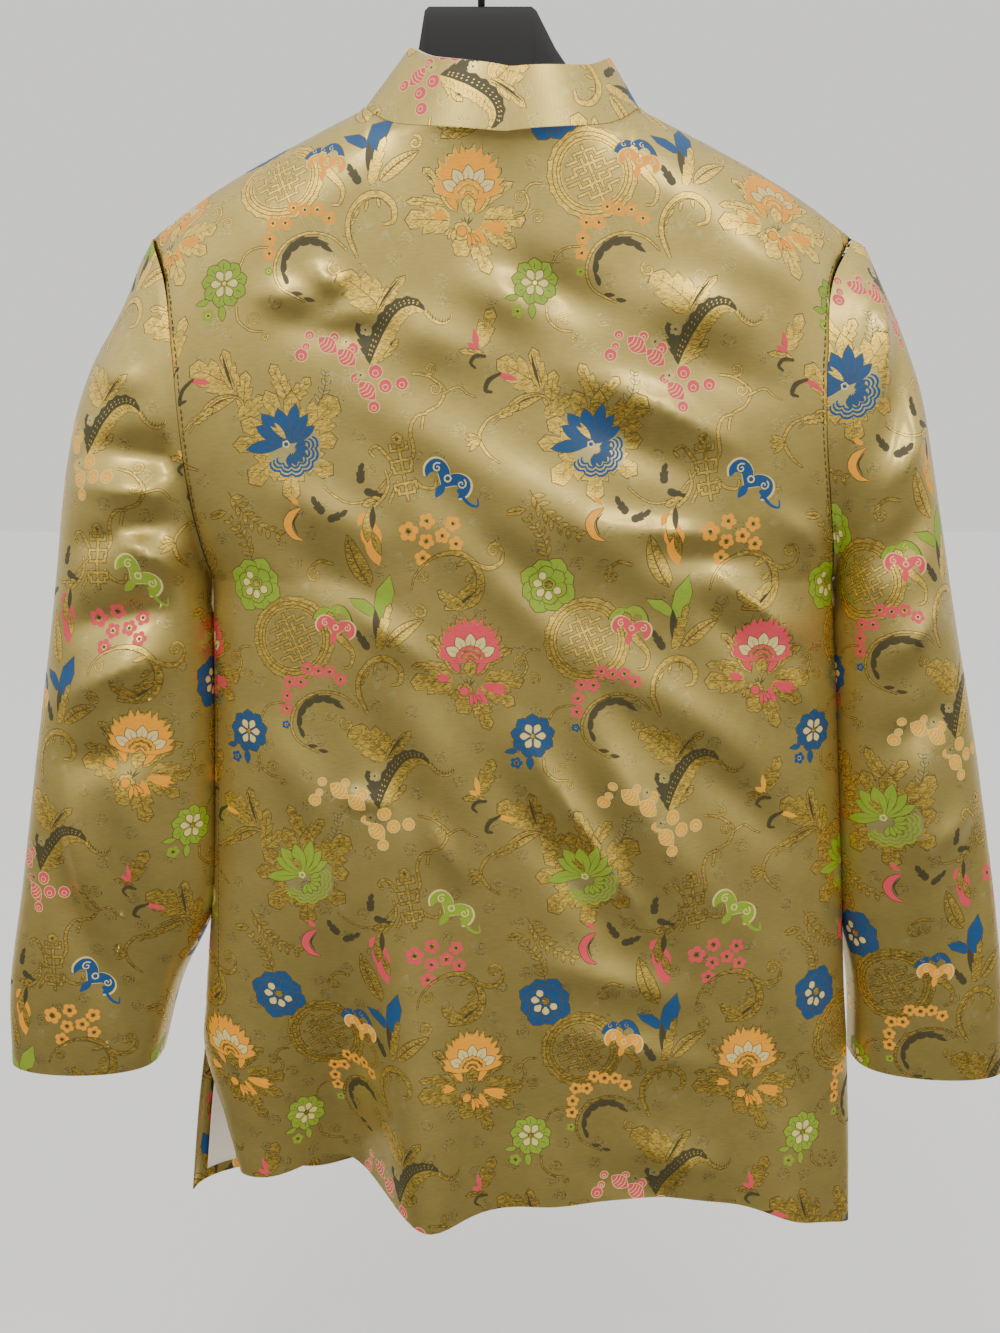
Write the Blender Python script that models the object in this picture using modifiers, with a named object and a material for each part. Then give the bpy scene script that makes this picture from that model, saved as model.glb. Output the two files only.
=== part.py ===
"""A tang jacket hanging on a black plastic hanger, one object for each cut and sewn piece.

Metres, +Z up. The origin is the inside top of the hanger's hook, where a rail or wall hook holds
it. The jacket's back faces -Y and its front opening, with the frogs, faces +Y. The wearer's left
is at -X.
"""

import math

import bmesh
import bpy
import numpy as np

# Driving dimensions
CLOTH = 0.0014  # wall of the brocade pieces
LINING = 0.0010  # wall of the satin lining
COLLAR_WALL = 0.0020  # collar: two layers with stiffening
SEAM = 0.0011  # each edge stops this far short of a seam between front and back
SLEEVE_GAP = 0.0009  # sleeve edge to armhole edge
LINING_GAP = 0.0045  # the lining hangs this far inside the cloth
LINING_HEM = 0.030  # share of the way from hem to armpit where the lining starts

MIDDLE_X = 0.0128  # the jacket hangs this far off the hanger's own middle
NECK_HALF = 0.0860  # half width of the neckline, measured flat across
NECK_DEPTH = 0.0470  # from the hanger's plane to the middle of the neckline
COLLAR_LINING_GAP = 0.0016  # the collar's lining inside its wall, measured level
COLLAR_TOP_X = 0.0177  # middle of the collar's upper edge
COLLAR_TOP_HALF = 0.0630
COLLAR_TOP_DEPTH = 0.0420
COLLAR_TILT = 0.0060  # how much lower its upper edge lies at the right than at the left
COLLAR_LIFT = 0.0011  # gap between collar and neckline at the back
COLLAR_SIDE_LIFT = 0.0036  # the same gap above the shoulders, where the cloth lies flat
OPENING = 0.0004  # half the gap between the two fronts

ARMPIT_Z = -0.4150
ARMHOLE_DEPTH = 0.0420  # from the hanger's plane to the armhole edge at half its height
ARMHOLE_POINT = 1.5  # 1 is an ellipse, and a higher number is more pointed at both ends
CUFF_POINT = 0.62  # the cuff's corners are squarer than an ellipse's
SHOULDER_ROUND = 0.0550  # how far below the shoulder seam the cloth turns downwards
LENS = 4.0  # a higher number gives flatter panels and tighter sides

FROGS = 7
FROG_TOP_Z = -0.2120
FROG_BOTTOM_Z = -0.7150
FROG_LENGTH = 0.0560
FROG_START = 0.0075  # the strip begins this far from the opening, at the knot
FROG_CORD = 0.0022  # radius of the rolled strip
FROG_LIFT = 0.0008  # strip and knot clear of the cloth
KNOT = 0.0056  # radius of a knot button

HOOK_WIRE = 0.00225
HOOK_INSIDE = 0.0190
HOOK_FOOT_Z = -0.0632
RINGS = 12  # points round a section of the hanger

LOW_ROWS = 13  # rows of each body panel from hem to armpit
HIGH_ROWS = 10  # and from armpit to shoulder
SHOULDER_COLUMNS = 7  # columns across each shoulder
NECK_COLUMNS = 8  # and across the neckline
SLEEVE_ROWS = 16
SLEEVE_COLUMNS = 16


def table(columns, *rows):
    """Rows of numbers as one array for each named column."""
    return {name: np.array([row[i] for row in rows]) for i, name in enumerate(columns.split())}


# Where the side edges of the body run, from the hem up to the armpit. Below the vents' top, at
# z = -0.75, back and front part from each other.
EDGES = table(
    "z back_left back_left_y front_left front_left_y back_right back_right_y front_right front_right_y",
    (-0.875, -0.164, -0.032, -0.2180, 0.000, 0.2610, -0.030, 0.2540, 0.012),
    (-0.800, -0.187, -0.012, -0.2095, 0.000, 0.2625, -0.012, 0.2590, 0.005),
    (-0.750, -0.2025, 0.000, -0.2025, 0.000, 0.2620, 0.000, 0.2620, 0.000),
    (-0.718, -0.1998, 0.000, -0.1998, 0.000, 0.2589, 0.000, 0.2589, 0.000),
    (-0.607, -0.1890, 0.000, -0.1890, 0.000, 0.2505, 0.000, 0.2505, 0.000),
    (-0.500, -0.1840, 0.000, -0.1840, 0.000, 0.2420, 0.000, 0.2420, 0.000),
    (-0.415, -0.1810, 0.000, -0.1810, 0.000, 0.2340, 0.000, 0.2340, 0.000),
)
# The armhole edge from the armpit up to the end of the shoulder.
ARMHOLE = table(
    "z left right",
    (-0.415, -0.1810, 0.2340),
    (-0.365, -0.1850, 0.2210),
    (-0.320, -0.1870, 0.2135),
    (-0.275, -0.1900, 0.2128),
    (-0.225, -0.1990, 0.2205),
    (-0.200, -0.2105, 0.2365),
)
# Half the jacket's thickness, hem to shoulder.
DEPTH = table(
    "z back front",
    (-0.875, 0.048, 0.040),
    (-0.700, 0.046, 0.042),
    (-0.500, 0.045, 0.043),
    (-0.350, 0.046, 0.044),
    (-0.250, 0.044, 0.042),
    (-0.150, 0.040, 0.040),
)
# Lower edge of back and front, by the share of the way from left to right.
HEM = table(
    "share back front",
    (0.00, -0.838, -0.871),
    (0.18, -0.836, -0.869),
    (0.32, -0.853, -0.866),
    (0.48, -0.847, -0.864),
    (0.70, -0.845, -0.864),
    (0.84, -0.850, -0.866),
    (1.00, -0.872, -0.869),
)
# The stand collar round the neck, by degrees from the middle of the back.
COLLAR = table(
    "angle base top",
    (0, -0.1520, -0.1115),
    (45, -0.1430, -0.1035),
    (90, -0.1245, -0.0895),
    (135, -0.1600, -0.1160),
    (180, -0.1970, -0.1520),
)
# Sections of each sleeve from armhole to cuff: outer and inner end in the hanger's plane, and half
# the thickness. The first row meets the armhole.
SLEEVE_LEFT = table(
    "outer_x outer_z inner_x inner_z depth",
    (-0.2110, -0.2000, -0.1830, -0.4170, 0.042),
    (-0.2330, -0.2160, -0.1858, -0.4180, 0.044),
    (-0.2480, -0.2500, -0.1866, -0.4215, 0.046),
    (-0.2600, -0.2900, -0.1872, -0.4300, 0.047),
    (-0.2735, -0.3480, -0.1876, -0.4450, 0.047),
    (-0.2825, -0.4048, -0.1878, -0.4700, 0.046),
    (-0.2918, -0.4590, -0.1885, -0.5050, 0.044),
    (-0.3070, -0.5429, -0.1915, -0.5700, 0.042),
    (-0.3222, -0.6302, -0.2020, -0.6450, 0.039),
    (-0.3352, -0.7000, -0.2180, -0.7050, 0.035),
    (-0.3385, -0.7600, -0.2345, -0.7610, 0.032),
)
SLEEVE_RIGHT = table(
    "outer_x outer_z inner_x inner_z depth",
    (0.2370, -0.2000, 0.2362, -0.4170, 0.042),
    (0.2560, -0.2060, 0.2385, -0.4180, 0.044),
    (0.2680, -0.2300, 0.2400, -0.4215, 0.046),
    (0.2790, -0.2750, 0.2415, -0.4300, 0.047),
    (0.2915, -0.3300, 0.2425, -0.4450, 0.047),
    (0.3035, -0.3860, 0.2445, -0.4700, 0.046),
    (0.3160, -0.4430, 0.2465, -0.5050, 0.044),
    (0.3365, -0.5330, 0.2508, -0.5700, 0.042),
    (0.3555, -0.6302, 0.2578, -0.6450, 0.039),
    (0.3665, -0.7000, 0.2630, -0.7050, 0.035),
    (0.3725, -0.7660, 0.2670, -0.7620, 0.032),
)
# The largest folds of the back: a line from start to end, how far the cloth stands out along it,
# its half width, and the share of the line where it stands out most. A share of 1 runs to the hem.
FOLDS = table(
    "start_x start_z end_x end_z out half most",
    (-0.095, -0.600, -0.106, -0.860, -0.040, 0.034, 1.00),
    (-0.055, -0.600, -0.038, -0.860, 0.024, 0.026, 1.00),
    (-0.150, -0.260, 0.200, -0.460, 0.007, 0.016, 0.60),
    (-0.120, -0.310, 0.170, -0.540, 0.006, 0.014, 0.65),
    (0.040, -0.430, 0.160, -0.700, 0.009, 0.014, 0.50),
    (0.215, -0.700, 0.215, -0.870, 0.008, 0.026, 1.00),
)
# The hanger from end to end: its upper and lower edge and its half thickness.
HANGER = table(
    "x top bottom half",
    (-0.1900, -0.2010, -0.2090, 0.004),
    (-0.1860, -0.1970, -0.2140, 0.008),
    (-0.1700, -0.1840, -0.2120, 0.011),
    (-0.1250, -0.1610, -0.1930, 0.012),
    (-0.0850, -0.1430, -0.1760, 0.009),
    (-0.0600, -0.1210, -0.1640, 0.007),
    (-0.0390, -0.0880, -0.1580, 0.006),
    (-0.0350, -0.0660, -0.1560, 0.005),
    (-0.0325, -0.0635, -0.1555, 0.004),
    (0.0310, -0.0635, -0.1555, 0.004),
    (0.0340, -0.0660, -0.1560, 0.005),
    (0.0460, -0.0880, -0.1580, 0.006),
    (0.0700, -0.1210, -0.1640, 0.007),
    (0.1100, -0.1450, -0.1760, 0.009),
    (0.1500, -0.1620, -0.1930, 0.012),
    (0.1950, -0.1850, -0.2120, 0.011),
    (0.2110, -0.1980, -0.2140, 0.008),
    (0.2150, -0.2020, -0.2090, 0.004),
)


def smooth(rows, by, name, at):
    """A column of a table read at any place: a cubic through its rows, with Hermite slopes."""
    xs, ys = rows[by], rows[name]
    at = np.clip(at, xs[0], xs[-1])
    slopes = np.gradient(ys, xs)
    i = np.clip(np.searchsorted(xs, at, side="right") - 1, 0, len(xs) - 2)
    step = xs[i + 1] - xs[i]
    t = (at - xs[i]) / step
    start = (1 + 2 * t) * (1 - t) ** 2 * ys[i] + t * (1 - t) ** 2 * step * slopes[i]
    return start + t * t * (3 - 2 * t) * ys[i + 1] + t * t * (t - 1) * step * slopes[i + 1]


def ease(t):
    """0 to 1 with level ends."""
    t = np.clip(t, 0, 1)
    return t * t * (3 - 2 * t)


def neckline(side):
    """Seam line between body and collar at this sine of the angle round the neck.

    side is -1 on the back's half of the ring and 1 on the front's.
    """

    def at(sine):
        cosine = np.sqrt(np.clip(1 - sine * sine, 0, 1))
        angle = np.degrees(np.arcsin(np.clip(np.abs(sine), 0, 1)))
        angle = np.where(side < 0, angle, 180 - angle)
        return side * NECK_DEPTH * cosine, smooth(COLLAR, "angle", "base", angle)

    return at


def top_edge(side, x, shoulder_left, shoulder_right):
    """y and z of a body panel's upper edge: the neckline, then down each shoulder seam."""
    across = (x - MIDDLE_X) / NECK_HALF
    neck_y, neck_z = neckline(side)(np.clip(across, -1, 1))
    side_z = COLLAR["base"][2]
    left = MIDDLE_X - NECK_HALF
    right = MIDDLE_X + NECK_HALF
    down_left = np.clip((left - x) / (left - shoulder_left), 0, 1)
    down_right = np.clip((x - right) / (shoulder_right - right), 0, 1)
    down = np.maximum(down_left, down_right)
    drop = ARMHOLE["z"][-1] - side_z
    slope_z = side_z + drop * (0.86 * down + 0.14 * down**4)
    on_neck = np.abs(across) < 1
    return np.where(on_neck, neck_y, 0.0), np.where(on_neck, neck_z, slope_z)


def folds_out(x, z):
    """How far the folds lift the back at each place."""
    out = np.zeros_like(x)
    for i in range(len(FOLDS["out"])):
        row = {name: column[i] for name, column in FOLDS.items()}
        run = np.array([row["end_x"] - row["start_x"], row["end_z"] - row["start_z"]])
        length = math.hypot(*run)
        run = run / length
        offset_x, offset_z = x - row["start_x"], z - row["start_z"]
        share = (offset_x * run[0] + offset_z * run[1]) / length
        aside = offset_x * run[1] - offset_z * run[0]
        rise = ease(share / row["most"])
        fall = 1.0 if row["most"] >= 1 else ease((1 - share) / (1 - row["most"]))
        out += row["out"] * rise * fall * np.exp(-((aside / row["half"]) ** 2))
    return out


def side_edge(face, side, level):
    """x, y and z of a panel's side edge. level is 0 at the hem, 1 at the armpit, 2 at the shoulder."""
    name = f"{'back' if face < 0 else 'front'}_{side}"
    corner = HEM["back" if face < 0 else "front"][0 if side == "left" else -1]
    z = np.where(
        level <= 1,
        corner + (ARMPIT_Z - corner) * level,
        ARMPIT_Z + (ARMHOLE["z"][-1] - ARMPIT_Z) * (level - 1),
    )
    low_x = smooth(EDGES, "z", name, z)
    low_y = smooth(EDGES, "z", name + "_y", z)
    high_x = smooth(ARMHOLE, "z", side, z)
    centred = 2 * (level - 1) - 1
    high_y = face * ARMHOLE_DEPTH * np.clip(1 - centred * centred, 0, 1) ** (ARMHOLE_POINT / 2)
    x = np.where(level <= 1, low_x, high_x)
    y = np.where(level <= 1, low_y, high_y)
    return x, face * np.maximum(face * y, SEAM), z


def body_points(face, shares, levels):
    """A body panel's outer surface, as an array of rows by columns by 3.

    face is -1 for the back and 1 for the front. A column is a share of the way from left to right
    and a row a level from hem to shoulder, as in side_edge.
    """
    share, level = np.meshgrid(shares, levels)
    left_x, left_y, left_z = side_edge(face, "left", level)
    right_x, right_y, _ = side_edge(face, "right", level)
    x = left_x + (right_x - left_x) * share
    edge_y = left_y + (right_y - left_y) * share
    shoulders = ARMHOLE["left"][-1], ARMHOLE["right"][-1]
    top_x = shoulders[0] + (shoulders[1] - shoulders[0]) * share
    top_y, top_z = top_edge(face, top_x, *shoulders)
    hem_z = smooth(HEM, "share", "back" if face < 0 else "front", share)
    z = np.where(
        level <= 1,
        hem_z + (ARMPIT_Z - hem_z) * level,
        ARMPIT_Z + (top_z - ARMPIT_Z) * (level - 1),
    )
    depth = smooth(DEPTH, "z", "back" if face < 0 else "front", z)
    lens = np.sqrt(np.clip(1 - np.abs(2 * share - 1) ** LENS, 0, 1))
    y = edge_y + (face * depth - edge_y) * lens
    if face < 0:
        y -= folds_out(x, z) * lens
    below = np.clip((top_z - z) / SHOULDER_ROUND, 0, 1)
    turned = np.sqrt(1 - (1 - below) ** 2)
    y = top_y + (y - top_y) * turned
    return np.stack([x, face * np.maximum(face * y, SEAM), z], axis=-1)


def body_shares(shoulder_columns, neck_columns):
    """Columns from left to right, closer at the sides, with one at each end of the neckline."""
    left, right = ARMHOLE["left"][-1], ARMHOLE["right"][-1]
    neck = (MIDDLE_X + np.array([-1, 1]) * NECK_HALF - left) / (right - left)
    outer = np.linspace(0, 1, shoulder_columns + 1) ** 1.6
    turn = np.linspace(-math.pi / 2, math.pi / 2, neck_columns + 1)
    middle = neck.mean() + (neck[1] - neck[0]) / 2 * np.sin(turn)
    return np.concatenate([outer[:-1] * neck[0], middle, 1 - outer[:-1][::-1] * (1 - neck[1])])


def body_levels(low_rows, high_rows):
    """Rows from hem to armpit, then to the shoulder, closer at both ends of the armhole."""
    high = 1.5 - 0.5 * np.cos(np.linspace(0, math.pi, high_rows + 1))
    return np.concatenate([np.linspace(0, 1, low_rows + 1)[:-1], high])


def sleeve_points(rows, side, rings, around):
    """A sleeve's outer surface, one closed ring a row, from the armhole down to the cuff."""
    count = len(rows["depth"])
    placed = rows | {"row": np.arange(count, dtype=float)}
    along = np.linspace(0, count - 1, rings)[:, None]
    turn = np.linspace(0, 2 * math.pi, around + 1)[None, :-1]
    outer_x, outer_z, inner_x, inner_z, depth = (
        smooth(placed, "row", name, along) for name in "outer_x outer_z inner_x inner_z depth".split()
    )
    x = (outer_x + inner_x) / 2 + (outer_x - inner_x) / 2 * np.cos(turn)
    z = (outer_z + inner_z) / 2 + (outer_z - inner_z) / 2 * np.cos(turn)
    pointed = 1 + (ARMHOLE_POINT - 1) * ease(1 - along / 5) + (CUFF_POINT - 1) * ease(along / 5 - 1)
    y = depth * np.sign(np.sin(turn)) * np.abs(np.sin(turn)) ** pointed
    away = -1 if side == "left" else 1
    seam_x = smooth(ARMHOLE, "z", side, z) + away * SLEEVE_GAP
    follow = ease(1 - along / 3.5)
    x = x + (seam_x - x) * follow * np.where(along < 1e-9, 1, 0.55)
    return np.stack([x, y, z], axis=-1)


def collar_points(angles, heights, out=0.0, lift=0.0):
    """The collar's outer surface: rows from seam to upper edge, columns round the neck."""
    angle, height = np.meshgrid(angles, heights)
    sine, cosine = np.sin(angle), np.cos(angle)
    degrees = np.degrees(np.abs(angle))
    low = smooth(COLLAR, "angle", "base", degrees)
    high = smooth(COLLAR, "angle", "top", degrees) + lift - COLLAR_TILT * (1 + sine) / 2
    low = low + COLLAR_LIFT + (COLLAR_SIDE_LIFT - COLLAR_LIFT) * sine**2
    half = NECK_HALF + (COLLAR_TOP_HALF - NECK_HALF) * height + out
    deep = NECK_DEPTH + (COLLAR_TOP_DEPTH - NECK_DEPTH) * height + out
    middle = MIDDLE_X + (COLLAR_TOP_X - MIDDLE_X) * height
    return np.stack([middle + half * sine, -deep * cosine, low + (high - low) * height], axis=-1)


def grid_normals(points):
    """Unit normals of a grid of points, from the differences along its rows and columns."""
    along = np.gradient(points, axis=0)
    across = np.gradient(points, axis=1)
    normal = np.cross(across, along)
    return normal / np.linalg.norm(normal, axis=-1, keepdims=True)


def material(name, colour, roughness, metallic=0.0):
    made = bpy.data.materials.new(name)
    made.use_nodes = True
    shader = made.node_tree.nodes["Principled BSDF"]
    shader.inputs["Base Color"].default_value = (*colour, 1.0)
    shader.inputs["Roughness"].default_value = roughness
    shader.inputs["Metallic"].default_value = metallic
    return made


def add_mesh(name, points, closed, made_of, outward):
    """An open grid of quads as a mesh object. closed joins its last column to its first."""
    rows, columns = points.shape[:2]
    mesh = bpy.data.meshes.new(name)
    index = np.arange(rows * columns).reshape(rows, columns)
    if closed:
        index = np.concatenate([index, index[:, :1]], axis=1)
    quads = np.stack([index[:-1, :-1], index[:-1, 1:], index[1:, 1:], index[1:, :-1]], axis=-1)
    quads = quads.reshape(-1, 4)
    if not outward:
        quads = quads[:, ::-1]
    mesh.from_pydata(points.reshape(-1, 3).tolist(), [], quads.tolist())
    mesh.materials.append(made_of)
    mesh.shade_smooth()
    shown = bpy.data.objects.new(name, mesh)
    parts.objects.link(shown)
    return shown


def add_wall(shown, thickness):
    """Gives an open surface its thickness, inwards from its outer face."""
    wall = shown.modifiers.new("wall", "SOLIDIFY")
    wall.thickness = thickness
    wall.offset = -1.0
    wall.use_even_offset = False


def add_tube(name, points, radius, made_of, sides):
    """A round cord or wire through these points, with closed ends."""
    curve = bpy.data.curves.new(name, "CURVE")
    curve.dimensions = "3D"
    curve.bevel_depth = radius
    curve.bevel_resolution = sides
    curve.use_fill_caps = True
    spline = curve.splines.new("POLY")
    spline.points.add(len(points) - 1)
    for point, place in zip(spline.points, points):
        point.co = (*place, 1.0)
    curve.materials.append(made_of)
    shown = bpy.data.objects.new(name, curve)
    parts.objects.link(shown)


def build_body():
    every = body_shares(SHOULDER_COLUMNS, NECK_COLUMNS)
    levels = body_levels(LOW_ROWS, HIGH_ROWS)
    back = add_mesh("back", body_points(-1, every, levels), False, brocade, True)
    add_wall(back, CLOTH)
    add_lining("lining_back", -1, trimmed(every, 0.010), True)
    width = ARMHOLE["right"][-1] - ARMHOLE["left"][-1]
    neck_middle = (MIDDLE_X - ARMHOLE["left"][-1]) / width
    for side in ("left", "right"):
        if side == "left":
            kept = every[every < neck_middle - 0.01]
            shares = np.append(kept, neck_middle - OPENING / width)
        else:
            kept = every[every > neck_middle + 0.01]
            shares = np.insert(kept, 0, neck_middle + OPENING / width)
        points = body_points(1, shares, levels)
        add_wall(add_mesh(f"front_{side}", points, False, brocade, False), CLOTH)
        add_lining(f"lining_front_{side}", 1, trimmed(shares, 0.012), False)


def trimmed(shares, margin):
    """The same columns, with the two outer ones drawn in a little."""
    low, high = shares[0], shares[-1]
    return low + margin + (shares - low) * (high - low - 2 * margin) / (high - low)


def add_lining(name, face, shares, outward):
    """A lining panel: the body's own points, moved in. It stops short of hem, armhole and neck."""
    levels = body_levels(LOW_ROWS, HIGH_ROWS)[1:20:2]
    levels[0] = LINING_HEM
    points = body_points(face, shares, levels)
    inward = -1 if outward else 1
    moved = points + inward * (CLOTH + LINING_GAP) * grid_normals(points)
    add_wall(add_mesh(name, moved, False, satin, outward), LINING)


def build_sleeves():
    for side, rows in (("left", SLEEVE_LEFT), ("right", SLEEVE_RIGHT)):
        points = sleeve_points(rows, side, SLEEVE_ROWS, SLEEVE_COLUMNS)
        shown = add_mesh(f"sleeve_{side}", points, True, brocade, side == "right")
        add_wall(shown, CLOTH)


def build_collar():
    end = math.pi - OPENING / NECK_HALF - 0.002
    angles = np.linspace(-end, end, 29)
    outer = add_mesh("collar", collar_points(angles, (0, 0.5, 1)), False, brocade, True)
    add_wall(outer, COLLAR_WALL)
    shrunk = -(COLLAR_WALL + COLLAR_LINING_GAP)
    inner = collar_points(angles, (0.04, 0.5, 1), shrunk, 0.0008)
    add_wall(add_mesh("collar_lining", inner, False, satin, True), LINING)


def build_frogs():
    """Seven frogs down the opening: a rolled strip on each front, and a knot between them."""
    width = ARMHOLE["right"][-1] - ARMHOLE["left"][-1]
    middle = (MIDDLE_X - ARMHOLE["left"][-1]) / width
    for number in range(FROGS):
        z = FROG_TOP_Z + (FROG_BOTTOM_Z - FROG_TOP_Z) * number / (FROGS - 1)
        for side, away in (("left", -1), ("right", 1)):
            ends = np.array([FROG_START, FROG_LENGTH * 0.5, FROG_LENGTH]) / width
            points = np.array([front_point(middle + away * end, z) for end in ends])
            points[:, 1] += FROG_CORD + FROG_LIFT
            add_tube(f"frog_{side}_{number + 1}", points, FROG_CORD, brocade, 1)
        centre = front_point(middle, z)
        add_knot(f"knot_{number + 1}", centre + np.array([0, KNOT + FROG_LIFT, 0]))


def front_point(share, z):
    """The point of the fronts' surface at this share of the width and this height."""
    shoulders = ARMHOLE["left"][-1], ARMHOLE["right"][-1]
    top_x = shoulders[0] + (shoulders[1] - shoulders[0]) * share
    top = float(top_edge(1, np.array(top_x), *shoulders)[1])
    low = float(smooth(HEM, "share", "front", np.array(share)))
    if z > ARMPIT_Z:
        level = 1 + (z - ARMPIT_Z) / (top - ARMPIT_Z)
    else:
        level = (z - low) / (ARMPIT_Z - low)
    return body_points(1, np.array([share]), np.array([level]))[0, 0]


def add_knot(name, centre):
    """A round knot button, a little flattened towards the cloth."""
    made = bmesh.new()
    bmesh.ops.create_uvsphere(made, u_segments=8, v_segments=5, radius=KNOT)
    mesh = bpy.data.meshes.new(name)
    made.to_mesh(mesh)
    made.free()
    mesh.materials.append(brocade)
    mesh.shade_smooth()
    shown = bpy.data.objects.new(name, mesh)
    shown.location = centre
    parts.objects.link(shown)


def build_hanger():
    """The plastic hanger: rounded sections from end to end, with a closed face at each end."""
    turn = np.linspace(0, 2 * math.pi, RINGS + 1)[:-1]
    x = HANGER["x"][:, None] + 0 * turn
    half_z = (HANGER["top"] - HANGER["bottom"])[:, None] / 2
    middle = (HANGER["top"] + HANGER["bottom"])[:, None] / 2
    squared_y = np.sign(np.cos(turn)) * np.abs(np.cos(turn)) ** 0.6
    squared_z = np.sign(np.sin(turn)) * np.abs(np.sin(turn)) ** 0.6
    y = HANGER["half"][:, None] * squared_y
    z = middle + half_z * squared_z
    points = np.stack([x, y, z], axis=-1)
    shown = add_mesh("hanger", points, True, plastic, True)
    made = bmesh.new()
    made.from_mesh(shown.data)
    bmesh.ops.holes_fill(made, edges=[edge for edge in made.edges if edge.is_boundary], sides=0)
    bmesh.ops.recalc_face_normals(made, faces=made.faces)
    made.to_mesh(shown.data)
    made.free()


def build_hook():
    """The wire hook: a straight foot, a bend to one side, and an arc over the origin."""
    radius = HOOK_INSIDE + HOOK_WIRE
    middle_z = -HOOK_INSIDE
    start = math.radians(-35)
    turn = np.linspace(start, math.radians(205), 25)
    arc = np.stack([radius * np.cos(turn), 0 * turn, middle_z + radius * np.sin(turn)], axis=-1)
    foot = np.array([0, 0, HOOK_FOOT_Z])
    knee = np.array([0, 0, HOOK_FOOT_Z + 0.012])
    reach = 0.024
    leave = np.array([0, 0, reach])
    arrive = reach * np.array([-math.sin(start), 0, math.cos(start)])
    t = np.linspace(0, 1, 9)[:-1, None]
    bend = (1 + 2 * t) * (1 - t) ** 2 * knee + t * (1 - t) ** 2 * leave
    bend = bend + t * t * (3 - 2 * t) * arc[0] + t * t * (t - 1) * arrive
    add_tube("hook", [foot, *bend, *arc], HOOK_WIRE, steel, 2)


for old in list(bpy.data.objects):
    bpy.data.objects.remove(old)
parts = bpy.data.collections.new("tang_jacket")
bpy.context.scene.collection.children.link(parts)
brocade = material("gold brocade", (0.46, 0.37, 0.13), 0.35)
satin = material("ivory satin", (0.68, 0.62, 0.52), 0.40)
plastic = material("black plastic", (0.02, 0.02, 0.022), 0.45)
steel = material("black enamelled steel", (0.02, 0.02, 0.02), 0.30, 0.2)
build_body()
build_sleeves()
build_collar()
build_frogs()
build_hanger()
build_hook()
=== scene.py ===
import math

import bmesh
import bpy
import numpy as np
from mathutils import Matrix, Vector
from mathutils.bvhtree import BVHTree
from mathutils.geometry import delaunay_2d_cdt


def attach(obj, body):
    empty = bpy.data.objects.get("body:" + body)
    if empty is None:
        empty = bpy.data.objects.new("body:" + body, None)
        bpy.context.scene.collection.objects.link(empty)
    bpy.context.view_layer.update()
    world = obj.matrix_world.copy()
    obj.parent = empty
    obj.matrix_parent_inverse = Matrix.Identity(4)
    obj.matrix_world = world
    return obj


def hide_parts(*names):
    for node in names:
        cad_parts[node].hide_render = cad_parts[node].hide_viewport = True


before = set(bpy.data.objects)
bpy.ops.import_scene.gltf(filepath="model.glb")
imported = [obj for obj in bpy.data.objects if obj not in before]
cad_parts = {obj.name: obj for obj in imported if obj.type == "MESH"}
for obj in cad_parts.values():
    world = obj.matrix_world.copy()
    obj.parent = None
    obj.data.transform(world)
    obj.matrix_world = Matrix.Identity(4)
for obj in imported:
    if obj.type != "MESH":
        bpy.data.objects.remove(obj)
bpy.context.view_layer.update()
print("frame loaded")


def linear(code):
    # sRGB hex to linear: a straight foot below 0.04045, a 2.4 power above
    part = np.array([int(code[i : i + 2], 16) for i in (1, 3, 5)]) / 255
    return np.where(part <= 0.04045, part / 12.92, ((part + 0.055) / 1.055) ** 2.4)


def linked(shown):
    # puts an object in the scene
    bpy.context.scene.collection.objects.link(shown)
    return shown


modeNames = {
    "Math": "operation",
    "VectorMath": "operation",
    "Mix": "data_type",
    "TexVoronoi": "voronoi_dimensions",
    "Attribute": "attribute_name",
    "UVMap": "uv_map",
    "Bump": "invert",
}


def addNode(tree, kind, mode=None, links=None):
    # mode: the kind's one setting. links: input name or number -> a node, a socket or a plain value
    node = tree.nodes.new("ShaderNode" + kind)
    if mode is not None:
        setattr(node, modeNames[kind], mode)
    for key, value in (links or {}).items():
        if isinstance(value, bpy.types.Node):
            value = value.outputs[0]
        if isinstance(value, bpy.types.NodeSocket):
            tree.links.new(value, node.inputs[key])
        else:
            node.inputs[key].default_value = value
    return node


def newMaterial(name, colour, roughness, metallic=0.0):
    # an even material; looks with nodes add theirs to it
    made = bpy.data.materials.new(name)
    made.use_nodes = True
    shader = made.node_tree.nodes["Principled BSDF"]
    shader.inputs["Base Color"].default_value = (*linear(colour), 1.0)
    shader.inputs["Roughness"].default_value = roughness
    shader.inputs["Metallic"].default_value = metallic
    return made, made.node_tree, shader


def columnsOf(names, *rows):
    # a table of rows read as one array for each named column
    return {name: np.array([row[i] for row in rows]) for i, name in enumerate(names.split())}


def smooth(rows, by, name, at):
    # cubic through a table's rows, the slope at each row taken from its neighbours
    xs, ys = rows[by], rows[name]
    at = np.clip(at, xs[0], xs[-1])
    slopes = np.gradient(ys, xs)
    i = np.clip(np.searchsorted(xs, at, side="right") - 1, 0, len(xs) - 2)
    step = xs[i + 1] - xs[i]
    t = (at - xs[i]) / step
    start = (1 + 2 * t) * (1 - t) ** 2 * ys[i] + t * (1 - t) ** 2 * step * slopes[i]
    return start + t * t * (3 - 2 * t) * ys[i + 1] + t * t * (t - 1) * step * slopes[i + 1]


def ease(t):
    # 0 to 1 with level ends: 3t^2 - 2t^3
    t = np.clip(t, 0, 1)
    return t * t * (3 - 2 * t)


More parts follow.
